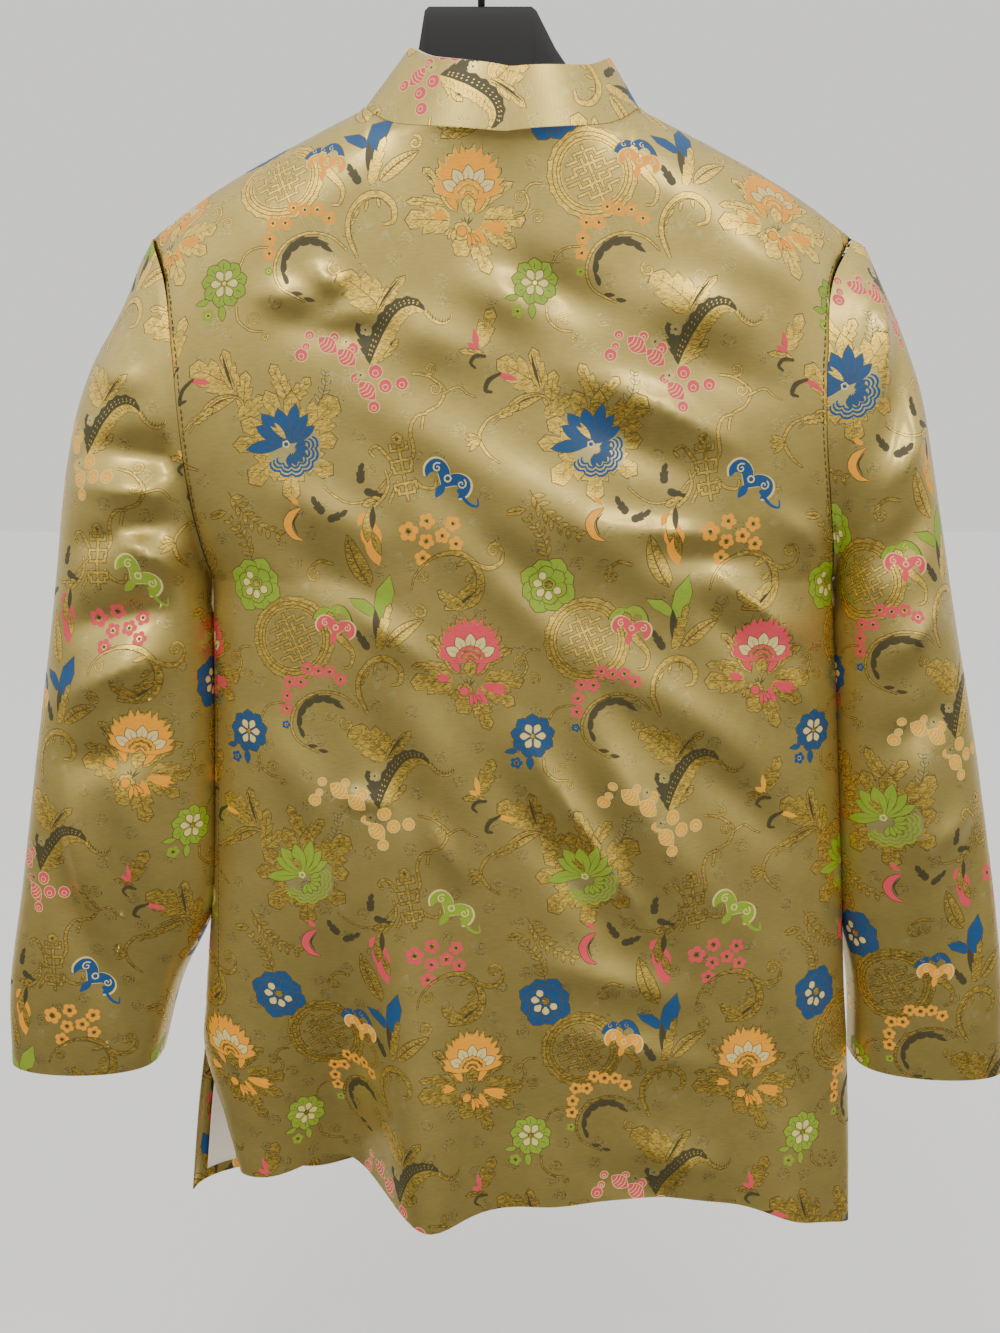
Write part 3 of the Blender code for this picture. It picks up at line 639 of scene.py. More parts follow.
def lotusHead(x, y, tilt):
    # base leaves and side petals first, so the crown overlaps them
    at = lambda px, py: place([(px, py)], x, y, tilt)[0]
    leaf(gold, *at(-11, 4), 128 + tilt, 24, 9, 4, 0.12, True, True)
    leaf(gold, *at(-16, 0), 166 + tilt, 22, 7, 3, 0.16)
    leaf(gold, *at(-12, -9), 176 + tilt, 27, 17, 3, 0.05)
    leaf(gold, *at(8, -8), -4 + tilt, 25, 16, 4, 0.06)
    leaf(gold, *at(6, -11), -30 + tilt, 25, 12, 3, -0.02)
    leaf(gold, *at(2, -15), -72 + tilt, 27, 12, 3, 0.04)
    disc(gold, *at(-5, -24), 6.2, 5, 0.2, -60 + tilt)
    leaf(gold, *at(6, 0), 42 + tilt, 23, 8, 3, -0.16)
    petal(gold, *at(-8, -4), 118 + tilt, 23, 8.4, 0.8, 0.05)
    petal(lotus, *at(-8, -3), 118 + tilt, 19, 5.0, 0.8, 0.05)
    petal(gold, *at(3, -5), 62 + tilt, 21, 7.8, 0.8, -0.05)
    petal(lotus, *at(3, -4), 62 + tilt, 17, 4.4, 0.8, -0.05)
    flame(lotus, *at(7, -11), -14 + tilt, 17, 8, 3)
    flame(lotus, *at(4, -13), -66 + tilt, 13, 5, 2)
    flame(lotus, *at(-14, -7), 168 + tilt, 9, 6, 3)
    cx, cy = at(-1, 5)
    for kind, grow, width in ((line, 2.2, 18.2), (gold, 1.5, 17.2), (lotus, 0, 16)):
        for a, r in ((30, 24), (54, 28), (78, 30), (102, 30), (126, 28), (150, 24)):
            flame(kind, cx, cy, a + tilt, r + grow, width, 4)
    for a in (28, 59, 90, 121, 152):
        petal(pale, *onRing(cx, cy, 7.5, a + tilt), a + tilt, 10.0, 6.6, 0.9, 0, True, True)
    for kind, inner, outer, depth in (
        (line, 9.6, 10.0, 0.8), (lotus, 7.9, 9.6, 0.8), (gold, 6.6, 7.9, 0.7), (line, 6.2, 6.6, 0.6),
        (lotus, 4.6, 6.0, 0.5), (gold, 3.0, 4.6, 0.4), (line, 2.6, 3.0, 0.2)
    ):
        ringPart(kind, cx, cy, inner, outer, 8 + tilt, 172 + tilt, 5, depth)
    petal(gold, *at(-1, -6), 90 + tilt, 12, 8, 1.1, 0, True, True)
    for a in (50, 72, 108, 130):
        hair(plume, *place([(1, 0), (6.5, 0)], *at(-2, -12), a + tilt), 0.9)
    disc(gold, *at(-5, -15), 5.6, 6, 0.2, 10 + tilt)
    disc(lotus, *at(-5, -15), 3.0, 0, 0, 0, True)
    for a in (-30, -55, -80):
        petal(lotus, *at(-1, -16), a + tilt, 9, 2.6, 1.0, -0.1)
    for a in (200, 225, 250):
        petal(gold, *at(-9, -14), a + tilt, 7, 3.0, 1.0, 0.1)


def medallion(x, y, turn):
    # a scalloped disc, rings, and a fret of steps mirrored about two axes
    disc(gold, x, y, 27.5, 20, 0.09, turn, True, 60)
    for radius in (24.2, 21.6, 19.6):
        ringBand(line, x, y, radius, 0.5)
    disc(ground, x, y, 18.6, 0, 0, 0, False, 28)
    paths = (
        [(0, -16.6), (0, 16.6)],
        [(0, 13.4), (6.4, 13.4), (6.4, 9.6), (12.6, 9.6)],
        [(0, 5.8), (9.6, 5.8), (9.6, 2.0), (15.8, 2.0)],
        [(3.2, 9.6), (3.2, 2.0), (6.4, 2.0)],
    )
    mirrored = []
    for path in paths:
        for sx, sy in ((1, 1), (-1, 1), (1, -1), (-1, -1)):
            mirrored.append(place(np.array(path) * [sx, sy], x, y, turn))
    for path in mirrored:
        fill(line, square(path, 2.3))
    for path in mirrored:
        fill(gold, square(path, 1.5))


def square(path, width):
    # a ribbon with mitred corners and square ends
    path = np.asarray(path, dtype=float)
    step = np.diff(path, axis=0)
    step /= np.linalg.norm(step, axis=1, keepdims=True)
    side = np.stack([-step[:, 1], step[:, 0]], axis=1)
    corner = side[:-1] + side[1:]
    corner /= np.maximum((corner * side[:-1]).sum(axis=1, keepdims=True), 0.3)
    normal = np.concatenate([side[:1], corner, side[-1:]]) * width / 2
    path = path.copy()
    path[0] -= step[0] * width / 2
    path[-1] += step[-1] * width / 2
    return np.concatenate([path + normal, (path - normal)[::-1]])


def ringBand(kind, x, y, radius, width):
    # two half rings, since one shape can't have a hole
    for start in (0, 180):
        ringPart(kind, x, y, radius - width / 2, radius + width / 2, start, start + 180, 3, 0.0)


def batFigure(kind, x, y, turn, size):
    at = lambda px, py: place([(px, py)], x, y, turn, size)[0]
    # two rounded wings over paler and larger ones, each with a curl, then a body and a two-ring head
    wing = [
        (0, 3), (4, 6.5), (9, 7), (12.5, 4), (13, -1), (10, -4.5), (9, -1), (6, 0.5), (3, -2), (0, -4)
    ]
    wings = {flip: rounded(np.array(wing) * [flip, 1], 3, True) for flip in (1, -1)}
    for full in wings.values():
        fill(pale, place(full * 1.09, x, y, turn, size))
    for flip, full in wings.items():
        fill(kind, place(full, x, y, turn, size))
        cx, cy = at(flip * 7.6, 2.6)
        curl(pale, cx, cy, 2.7 * size, 1.25, turn + 90, -flip, 0.75 * size)
    petal(kind, *at(0, -2), turn - 90, 9 * size, 4.4 * size, 0.9, 0, False)
    cx, cy = at(0, 1)
    disc(pale, cx, cy, 2.1 * size, 0, 0, 0, False, 8)
    disc(kind, cx, cy, 1.3 * size, 0, 0, 0, False, 8)


def cloudFigure(kind, x, y, turn, size):
    # a rounded outline over a larger dark one, with three curls
    shape = rounded(
        [
            (-9, -2), (-7, 2), (-3, 4), (0, 3.2), (3, 5), (7, 4), (10, 0), (11, -5), (9, -6.5), (8, -4),
            (8, -1), (5, 1), (2, -1.5), (-2, -0.5), (-5, -2)
        ],
        2, True
    )
    fill(line, place(shape * 1.07, x, y, turn, size))
    fill(kind, place(shape, x, y, turn, size))
    for px in (-4.5, 0.0, 4.5):
        cx, cy = place([(px, 2.0)], x, y, turn, size)[0]
        curl(gold, cx, cy, 1.6 * size, 1.0, 90 + turn, 1, 0.5)


def plumeFigure(x, y, turn, size):
    # dark upper half with pale dashes, gold lower half, and a hairy tail past the tip
    spine = np.array([(0, 0), (10, 10), (24, 22), (38, 30), (50, 30), (58, 22)], dtype=float)
    path = rounded(spine, 4)
    along = np.gradient(path, axis=0)
    along /= np.linalg.norm(along, axis=1, keepdims=True)
    normal = np.stack([-along[:, 1], along[:, 0]], axis=1)
    share = np.linspace(0, 1, len(path))[:, None]
    width = 9.5 * np.sin(math.pi * np.clip(share, 0, 1) ** 0.8) ** 0.6
    teeth = 1 + 0.18 * (np.arange(len(path))[:, None] % 2)
    upper = np.concatenate([path, (path + normal * width * teeth)[::-1]])
    lower = np.concatenate([path, (path - normal * width * 0.85 * teeth)[::-1]])
    grown = np.concatenate(
        [path + normal * (width * teeth + 0.5), (path - normal * (width * 0.85 * teeth + 0.5))[::-1]]
    )
    fill(line, place(grown, x, y, turn, size))
    fill(gold, place(lower, x, y, turn, size))
    fill(plume, place(upper, x, y, turn, size))
    fill(gold, place(ribbon(path, [0.9, 1.1, 0.5]), x, y, turn, size))
    for k in range(2, len(path) - 3):
        for h in (0.34, 0.64):
            a = path[k] + normal[k] * width[k] * h
            b = a + along[k] * 1.5 + normal[k] * 1.1
            hair(gold, *place([a, b], x, y, turn, size), 0.8)
        a = path[k] - normal[k] * width[k] * 0.2
        b = a + along[k] * 2.2 - normal[k] * width[k] * 0.45
        hair(line, *place([a, b], x, y, turn, size), 0.45)
    tail = [(58, 22), (61, 14), (67, 8), (74, 8), (78, 13)]
    hairs = rounded(tail, 3)
    fill(line, place(ribbon(hairs, [4.4, 3.6, 0.9]), x, y, turn, size))
    fill(gold, place(ribbon(hairs, [3.4, 2.6, 0.4]), x, y, turn, size))
    for k in range(1, len(hairs) - 3):
        a = hairs[k]
        b = a + np.array([2.2, 4.0])
        hair(line, *place([a, b], x, y, turn, size), 0.7)


def featherLeaf(x, y, turn, length, width, flip=1.0):
    # a long leaf of two halves, combed with slanting hairs
    t = np.linspace(0, 1, 9)
    spine = np.stack([t * length, 0.28 * length * t * t], axis=1)
    half = width / 2 * np.sin(math.pi * t**0.8) ** 0.7
    top = spine + np.stack([-0.4 * half, half], axis=1)
    low = spine + np.stack([0.4 * half, -half], axis=1) * 0.8
    grownTop = spine + np.stack([-0.4 * half, half + 0.5], axis=1)
    grownLow = spine + np.stack([0.4 * half, -0.8 * half - 0.5], axis=1)
    grown = np.concatenate([grownTop, grownLow[::-1]])
    fill(line, place(grown, x, y, turn, 1, flip))
    fill(gold, place(np.concatenate([top, low[::-1]]), x, y, turn, 1, flip))
    fill(line, place(ribbon(spine, [0.5, 0.9, 0.4]), x, y, turn, 1, flip))
    for s in np.linspace(0.14, 0.86, 9):
        a = np.array([s * length, 0.28 * length * s * s])
        for sign in (-1, 1):
            b = a + [length * 0.07, sign * width * 0.36 * math.sin(math.pi * s**0.8) ** 0.7]
            hair(line, *place([a, b], x, y, turn, 1, flip), 0.45)


def sprig(x, y, turn, length, pairs, size, kind=gold):
    # a thin bent stem with pairs of small pointed leaves
    t = np.linspace(0, 1, 6)
    spine = np.stack([t * length, -0.12 * length * np.sin(math.pi * t)], axis=1)
    fill(line, ribbon(place(spine, x, y, turn), [0.55, 0.4]))
    for k in range(pairs):
        s = (k + 0.6) / pairs
        a = place([(s * length, -0.12 * length * math.sin(math.pi * s))], x, y, turn)[0]
        for sign in (-1, 1):
            petal(
                kind, a[0], a[1], turn + sign * (38 + 8 * (k % 2)), size * (1.1 - 0.4 * s), size * 0.36,
                0.9, 0.05 * sign
            )


def scroll(kind, path, width, curls, edged=True, steps=4):
    # a stem with a spiral at each named place
    stroke(kind, path, [width, width * 1.15, width * 0.8], edged, steps)
    for x, y, radius, start, hand in curls:
        curl(kind, x, y, radius, 1.35, start, hand, width * 0.85, edged)


def scaleRows(kind, x, y, start, stop, radii, lobes):
    # a lobed band 1.5 mm wide at each radius
    for r in radii:
        ringPart(kind, x, y, r - 1.5, r, start, stop, lobes, 1.7)


def leafLotusHead(x, y):
    # leaves all round, two rings of petals, then bands of scales under the heart
    for a, length, width, lobes in (
        (152, 34, 16, 3), (176, 36, 15, 3), (112, 36, 15, 3), (86, 33, 13, 2), (42, 41, 24, 4),
        (6, 29, 15, 3), (-36, 31, 17, 3), (-92, 34, 17, 3), (-142, 35, 20, 3)
    ):
        leaf(gold, *onRing(x, y, 3, a), a, length - 3, width, lobes, 0.03)
    fill(tone, place(petalShape(34, 27, 1, 9), x - 6, y + 13, -48))
    disc(tone, x + 1, y - 2, 15.5, 0, 0, 0, False, 18)
    for a, length, width in (
        (184, 26, 7.5), (30, 20, 6.0), (52, 22, 6.5), (148, 22, 8.0), (74, 25, 7.5), (128, 24, 9),
        (102, 22, 9)
    ):
        petal(leafLotus, x - 2, y + 1, a, length, width, 1.25, 0.04, True, True)
    for a in (118, 134):
        petal(gold, x - 3, y + 4, a, 12, 2.6, 1, 0.1, False)
    for a in (-100, -74, -48, -22, 4, 26):
        petal(leafLotus, *onRing(x, y - 2, 2.6, a), a, 7.6, 3.6, 1.2, 0, True)
    scaleRows(leafLotus, x, y - 2, -150, 30, (12.4, 15.0, 17.6), 6)
    disc(pale, x - 3, y + 1, 2.6, 5, 0.2, 0, False, 10)
    disc(leafLotus, x - 3, y + 1, 1.4, 0, 0, 0, False, 7)


def emblem(x, y, turn):
    # a narrow fret: a spine with rungs that turn up at their ends, between four scroll arms
    at = lambda points: place(points, x, y, turn)
    arms = (
        [(-5, 4), (-8, 10), (-13, 17), (-18, 15), (-16, 11)],
        [(5, 4), (9, 10), (9, 22), (14, 30), (21, 31)],
        [(-4, -6), (-8, -12), (-12, -18)],
        [(5, -6), (10, -12), (17, -14), (19, -9)],
    )
    for path in arms:
        stroke(gold, at(path), [2.0, 1.8, 1.3], True, 3)
    paths = [[(0, 18), (0, -18)]]
    for row, half, rise in (
        (12.5, 5.0, 3.4), (6.0, 6.2, -3.2), (-1.0, 5.4, 3.0), (-8.0, 6.6, -3.6), (-14.0, 4.8, 2.8)
    ):
        paths.append([(-half, row + rise), (-half, row), (half, row), (half, row + rise)])
    for path in paths:
        fill(line, square(at(path), 2.5))
    for path in paths:
        fill(gold, square(at(path), 1.6))
    disc(gold, *at([(0, 19)])[0], 3.6, 5, 0.2, 90)
    disc(line, *at([(0, 19)])[0], 1.2, 0, 0, 0, False, 6)


def peonyHead(x, y, turn):
    # eight outer petals, six inner ones, pale ones and a lobed heart
    for a in range(0, 360, 45):
        petal(peony, x, y, a + turn, 18.5 if a % 90 else 17.0, 13.0, 2.0)
        hair(line, *place([(9, 0), (15.5, 0)], x, y, a + turn), 0.5)
    for a in range(20, 380, 60):
        petal(peony, x, y, a + turn, 12.4, 9.6, 1.9)
    for a in (100, 150, 205, 255, 310):
        petal(pale, *onRing(x, y, 2.5, a + turn), a + turn, 7.0, 4.8, 1.6)
    for r, kind in ((4.6, line), (4.1, peony), (2.9, line), (2.4, gold)):
        disc(kind, x + 0.5, y + 0.5, r, 5, 0.18, turn, False, 15)


def chrysanthemumHead(x, y):
    # nine outer petals, six pale ones and a round heart, with a small bloom below
    for a in range(0, 360, 40):
        petal(chrysanthemum, x, y, a + 12, 14.2, 9.0, 1.9)
        hair(line, *place([(8, 0), (12.5, 0)], x, y, a + 12), 0.5)
    for a in range(0, 360, 60):
        petal(pale, *onRing(x, y, 1.5, a), a, 7.0, 4.6, 1.5)
    disc(line, x, y, 2.1, 0, 0, 0, False, 8)
    disc(gold, x, y, 1.5, 0, 0, 0, False, 7)
    petal(chrysanthemum, x - 2, y - 13, -88, 9, 4.4, 0.9, 0, True)
    petal(chrysanthemum, x - 10, y - 9, 205, 8, 3.6, 0.9, -0.2, True)
    bloom(chrysanthemum, x - 10.5, y - 18, 4.2)


def grass(x, y, turn, size):
    # four thin blades fanned from one point
    for k, a in enumerate((-32, -12, 8, 30)):
        b = place([(size * (0.8 + 0.12 * (k % 2)), 0.4)], x, y, turn + a)[0]
        hair(tone, (x, y), b, 0.9)


def berries():
    # round berries with a pale ring each, and three striped pods
    for x, y, r in (
        (90, -75, 2.6), (85, -87, 3.8), (105, -76, 2.6), (116, -83, 3.6), (118, -101, 3.0),
        (130, -97, 4.2), (136, -105.5, 4.0), (129, -118, 3.4), (146, -104, 3.8), (88, -82, 2.2)
    ):
        disc(pale, x, y, r + 0.5, 0, 0, 0, False, 10)
        disc(berry, x, y, r, 0, 0, 0, False, 10)
        ringBand(pale, x, y - 0.2 * r, r * 0.42, 0.5)
    for x, y, turn in ((101, -81, -38), (112.5, -88.5, -42), (125, -108.5, -48)):
        fill(pale, place(petalShape(15, 10.4, 1, 8) - [7.5, 0], x, y, turn))
        fill(berry, place(petalShape(14, 9.4, 1, 8) - [7, 0], x, y, turn))
        for s in (-3.6, -1.2, 1.2, 3.6):
            path = place([(s - 0.8, -3.6), (s + 0.4, 0), (s - 0.8, 3.6)], x, y, turn)
            fill(pale, ribbon(rounded(path, 2), [0.5, 0.7, 0.5]))


def drawRepeat():
    # all the shapes of one repeat in mm, from its upper left corner, x right and y up
    shapes.clear()
    medallion(73, 18.5, 23)
    lotusHead(0, 0, 0)
    scroll(
        gold, [(26, -7), (32, -5), (35, 1), (33, 8), (37, 12), (43, 12)], 1.1,
        ((30, 4, 4.2, 20, 1), (40, -7, 4.6, 160, -1))
    )
    sprays = (
        (82, -1), (89, -2.5), (96.5, -2.5), (103.5, -7.5), (69.5, -10), (77, -10), (67.5, -19),
        (67, -27.5)
    )
    for x, y in sprays:
        stroke(tone, [(x, y), (x + 5, y - 7), (x + 8, y - 13)], [0.5, 0.4], False, 2)
    for x, y in sprays:
        bloom(spray, x, y, 4.4, (x * 13) % 72)
    bloom(chrysanthemum, 66.5, -38, 2.9)
    # arc of dark crescents with a gold rim
    stroke(
        gold, [(88, -56), (74, -48), (70, -36), (76, -23), (90, -16), (104, -18), (114, -26)],
        [0.8, 1.5, 0.9], True
    )
    crescents = (
        (218, 9, 2.4), (192, 11, 3.2), (166, 12, 4.0), (142, 13, 4.4), (116, 13, 4.4), (90, 12, 4.0),
        (64, 9, 2.8)
    )
    for a, length, wide in crescents:
        petal(plume, *onRing(91, -36, 16.5, a), a - 118, length, wide, 0.7, 0.26)
    for x, y, a in ((90, -53, -20), (97, -56, -25)):
        petal(plume, x - 9, y + 2, a, 6, 2.0, 1, 0.2)
    # hook leaf with hairs
    for x, y, a in ((118, -16, 20), (119, -9, 40), (122, -2, 62), (127, 3, 80), (133, 5, 100)):
        petal(gold, x, y, a + 170, 6.5, 1.8, 1, 0.1)
    stroke(
        gold, [(120, -30), (115, -18), (116, -6), (124, 4), (134, 6), (142, 0), (142, -9), (136, -11)],
        [1.6, 3.2, 4.4, 3.4, 1.4], True
    )
    stroke(line, [(120, -26), (116, -14), (118, -4), (125, 3), (134, 4), (140, -1)], [0.4, 0.5, 0.3])
    grass(138, -14, -110, 9)
    grass(126, -14, 70, 10)
    # acanthus
    leaf(gold, 134, -60, 132, 32, 22, 4, 0.16)
    curl(gold, 107, -37, 4.6, 1.2, 120, 1, 1.6, True)
    leaf(gold, 133, -62, 64, 26, 8, 3, -0.18, True, True)
    # plume with its base leaves
    leaf(plume, 130, -92, 118, 26, 8, 4, -0.05, False)
    leaf(gold, 128, -90, 30, 20, 8, 3, 0.10, True, True)
    plumeFigure(127, -93, 22, 0.74)
    chrysanthemumHead(39, -44)
    stroke(gold, [(49, -34), (53, -27), (60, -24), (66, -24)], [0.8, 0.8, 0.5], True)
    scroll(
        gold, [(46, -58), (47, -66), (54, -72), (62, -73)], 1.0,
        ((57, -66, 4.6, 200, -1), (63, -76, 2.2, 60, -1))
    )
    # bud and leaf pair
    leaf(gold, 4, -82, 62, 24, 11, 3, 0.08, False)
    curl(gold, 9.5, -69, 3.6, 1.3, 250, 1, 0.8, True)
    petal(berry, 4, -84, 96, 13, 3.6, 1, 0.06, False)
    petal(berry, 6, -86, 140, 10, 4.2, 1, 0.08, False)
    leaf(gold, 8, -88, 158, 15, 5, 2, 0.2)
    stroke(plume, [(9, -88), (3, -88), (0, -92), (3, -95)], [1.2, 1.8, 0.6], True, 3)
    # leaf cluster under it
    leaf(gold, 44, -106, 148, 32, 19, 4, 0.04)
    leaf(gold, 44, -106, 110, 24, 10, 3, -0.08, True, True)
    petal(berry, 29, -102, 162, 15, 3.6, 1, 0.05, False)
    stroke(plume, [(18, -98), (11, -102), (9, -108), (13, -109)], [1.0, 2.4, 2.0, 0.8], True, 3)
    leaf(gold, 48, -118, 80, 22, 10, 3, 0.05)
    featherLeaf(22, -120, 38, 24, 8, -1)
    stroke(
        gold, [(14, -128), (22, -120), (34, -112), (46, -112), (50, -122), (52, -130)],
        [0.7, 1.0, 1.0, 0.8], True
    )
    leaf(gold, 46, -124, 34, 20, 11, 3, 0.1)
    # three leaves above the leaf lotus
    leaf(gold, 76, -112, 118, 22, 10, 3, -0.04)
    leaf(gold, 78, -114, 46, 18, 9, 3, 0.04)
    sprig(93, -118, 74, 22, 4, 5.0, tone)
    # scroll with three curls
    scroll(
        gold, [(158, -132), (160, -122), (168, -117), (172, -108), (166, -102), (160, -99), (152, -98)],
        1.4, ((163, -95, 4.0, 250, 1), (166, -107, 4.4, 60, -1))
    )
    stroke(gold, [(171, -110), (180, -106), (186, -110), (191, -112)], [1.2, 0.9, 0.5], True)
    berries()
    for x, y in ((112, -79), (121, -99), (124, -72)):
        bloom(tone, x, y, 3.6)
    grass(103, -96, -70, 14)
    grass(110, -100, -60, 14)
    leafLotusHead(77, -141)
    stroke(
        gold, [(97, -166), (104, -172), (113, -176), (124, -174), (134, -164), (140, -156)],
        [0.8, 1.0, 1.0], True
    )
    for x, y, a in ((120, -164, 100), (97, -182, 140)):
        leaf(plume, x, y, a, 12, 5.0, 3, -0.25, False)
        leaf(plume, x + 2, y - 4, a - 130, 13, 4.6, 3, 0.25, False)
    grass(98, -160, -40, 12)
    emblem(146, -156, 10)
    batFigure(bat2, 173, -162, -34, 1.18)
    stroke(bat2, [(180, -168), (186, -176), (192, -178), (192, -173)], [2.6, 1.8, 0.8])
    # moon bud
    moon = rounded([(82, -179), (76, -183), (73, -189), (76, -196), (82, -199)], 3)
    fill(line, ribbon(moon, [1.2, 5.6, 6.4, 4.6, 1.4]))
    fill(bud, ribbon(moon, [0.6, 4.6, 5.4, 3.6, 0.6]))
    petal(bud, 76, -172, -50, 7, 3.4, 1, 0.1, False)
    stroke(plume, [(81, -182), (77, -188), (79, -195)], [0.5, 1.2, 0.5])
    # hanging bud
    petal(bud, 122, -182, 232, 9, 4.4, 0.9, 0.2, False)
    petal(bud, 124, -184, -84, 22, 13, 1.2, 0.06, False)
    petal(bud, 122, -190, -72, 26, 9, 1.3, 0, False)
    petal(gold, 125, -178, -98, 22, 6.0, 1.2, 0.06)
    petal(plume, 127, -178, -92, 14, 3.2, 1.0, 0)
    petal(gold, 126, -192, -72, 17, 4.6, 1.2, 0, True, True)
    leaf(gold, 132, -174, 190, 12, 6, 2, 0.1)
    stroke(gold, [(128, -178), (134, -172), (137, -164), (135, -156)], [2.0, 1.8, 1.0], True)
    for x, y, r in (
        (149, -193.5, 6.4), (160.5, -187, 5.2), (160, -199.5, 5.0), (170, -196, 5.0),
        (176.5, -188.5, 5.0), (178.5, -201, 4.8), (157.5, -210, 5.2)
    ):
        bloom(blossom, x, y, r, (x * 17) % 72)
    grass(186, -188, 10, 9)
    grass(144, -206, 240, 9)
    sprig(36, -168, -40, 42, 7, 7.5)
    sprig(48, -212, 118, 30, 5, 6.5)
    peonyHead(48, -227, 20)
    featherLeaf(124, -228, 128, 34, 12, -1)
    scroll(gold, [(100, -214), (92, -212), (86, -216)], 1.6, ((88, -221, 5.0, 90, 1),))
    grass(84, -226, 230, 9)
    # pod of three leaves
    leaf(pod, 130, -250, 84, 30, 12, 1, -0.12, False)
    leaf(pod, 126, -246, 128, 18, 8, 1, 0.35, False)
    petal(plume, 129, -266, 92, 24, 4.6, 1, 0.06)
    leaf(gold, 129, -268, 78, 30, 7, 4, -0.04, False)
    featherLeaf(134, -266, 52, 28, 9, -1)
    curl(gold, 155, -244, 4.6, 1.3, 100, -1, 1.8, True)
    leaf(plume, 122, -268, 118, 15, 5, 3, 0.1, False)
    # great scroll leaf
    stroke(
        gold,
        [(160, -212), (168, -208), (180, -207), (190, -214), (194, -226), (190, -237), (180, -242)],
        [1.0, 2.0, 3.6, 4.2, 4.6, 4.2, 3.0], True
    )
    leaf(gold, 192, -226, 232, 26, 10, 4, -0.25, False, True)
    leaf(gold, 182, -240, 168, 17, 9, 3, -0.35)
    stroke(line, [(172, -208), (184, -210), (191, -220), (190, -234)], [0.5, 0.6, 0.4])
    for x, y, a in ((186, -211, 200), (190, -219, 215), (191, -229, 205)):
        petal(gold, x, y, a, 8, 3.0, 1, 0.15)
    stroke(gold, [(188, -212), (198, -216), (206, -213), (208, -206)], [1.6, 3.0, 2.6, 1.0], True)
    curl(gold, 202, -205, 5.0, 1.3, 0, 1, 1.9, True)
    stroke(gold, [(150, -230), (152, -222), (158, -214), (166, -209)], [0.5, 0.9, 0.8], True)
    curl(gold, 157, -222, 3.8, 1.2, 60, -1, 1.1, True)
    cloudFigure(cloud, 98, -246, 0, 1.25)
    leaf(gold, 100, -258, 96, 14, 8, 3, 0.1)
    # bat above the medallion with its hooked tail
    stroke(gold, [(101, 22), (107, 16), (112, 9), (110, 1), (105, 0)], [5.0, 4.2, 2.4, 1.6, 1.0], True)
    batFigure(bat, 101, 25, -14, 0.95)
    # gold sprig of scrolls at the side
    stroke(
        gold, [(206, -152), (198, -146), (193, -136), (198, -126), (205, -122)], [0.6, 2.0, 1.8, 1.0],
        True
    )
    for a in (150, 172, 196, 220):
        petal(gold, 194, -138, a, 9.5, 3.0, 1, 0.1)
    leaf(gold, 205, -123, 20, 14, 6, 3, 0.1)
    leaf(gold, 22, -182, 10, 12, 5, 1, 0.0)


silks = {
    "ground": "#BBA55C",
    "tone": "#C3B274",
    "gold": "#E4C058",
    "line": "#574720",
    "plume": "#454021",
    "pale": "#DCC67C",
    "orange": "#EE9C00",
    "pink": "#D8444F",
    "yellow": "#E8A60E",
    "green": "#86A01E",
    "blue": "#0E4A7C",
}
plainKinds = {ground: "ground", tone: "tone", gold: "gold", line: "line", plume: "plume", pale: "pale"}
# Each coloured kind in the odd and in the even rows of lotuses.
turnsOfColour = {
    lotus: ("orange", "pink"),
    spray: ("orange", "pink"),
    bat: ("orange", "pink"),
    chrysanthemum: ("green", "blue"),
    berry: ("pink", "yellow"),
    leafLotus: ("blue", "green"),
    bat2: ("blue", "green"),
    bud: ("orange", "pink"),
    blossom: ("orange", "pink"),
    pod: ("green", "blue"),
    peony: ("green", "blue"),
    cloud: ("green", "blue"),
}


def threadTable():
    # a row for each kind and colour turn: linear colour, then 0 ground, 0.5 silk, 1 gold thread
    rows = np.zeros((64, 4))
    for kind, name in plainKinds.items():
        share = {
            "ground": 0.0, "tone": 0.25, "gold": 1.0, "line": 0.5, "plume": 0.5, "pale": 0.75
        }[name]
        rows[2 * kind] = rows[2 * kind + 1] = (*linear(silks[name]), share)
    for kind, names in turnsOfColour.items():
        for odd in (0, 1):
            rows[2 * kind + odd] = (*linear(silks[names[odd]]), 0.5)
    return rows


def wrapped():
    # every shape's copies that reach into the one repeat, in painter's order
    wide, high = cloth["repeatWide"], cloth["repeatHigh"]
    for kind, points in shapes:
        low, top = points.min(axis=0), points.max(axis=0)
        for j in (-1, 0, 1):
            for i in (-2, -1, 0, 1):
                if low[0] + i * wide > wide + 1 or top[0] + i * wide < -1:
                    continue
                if low[1] - j * high > 1 or top[1] - j * high < -high - 1:
                    continue
                yield 2 * kind + (j & 1), points + [i * wide, -j * high]


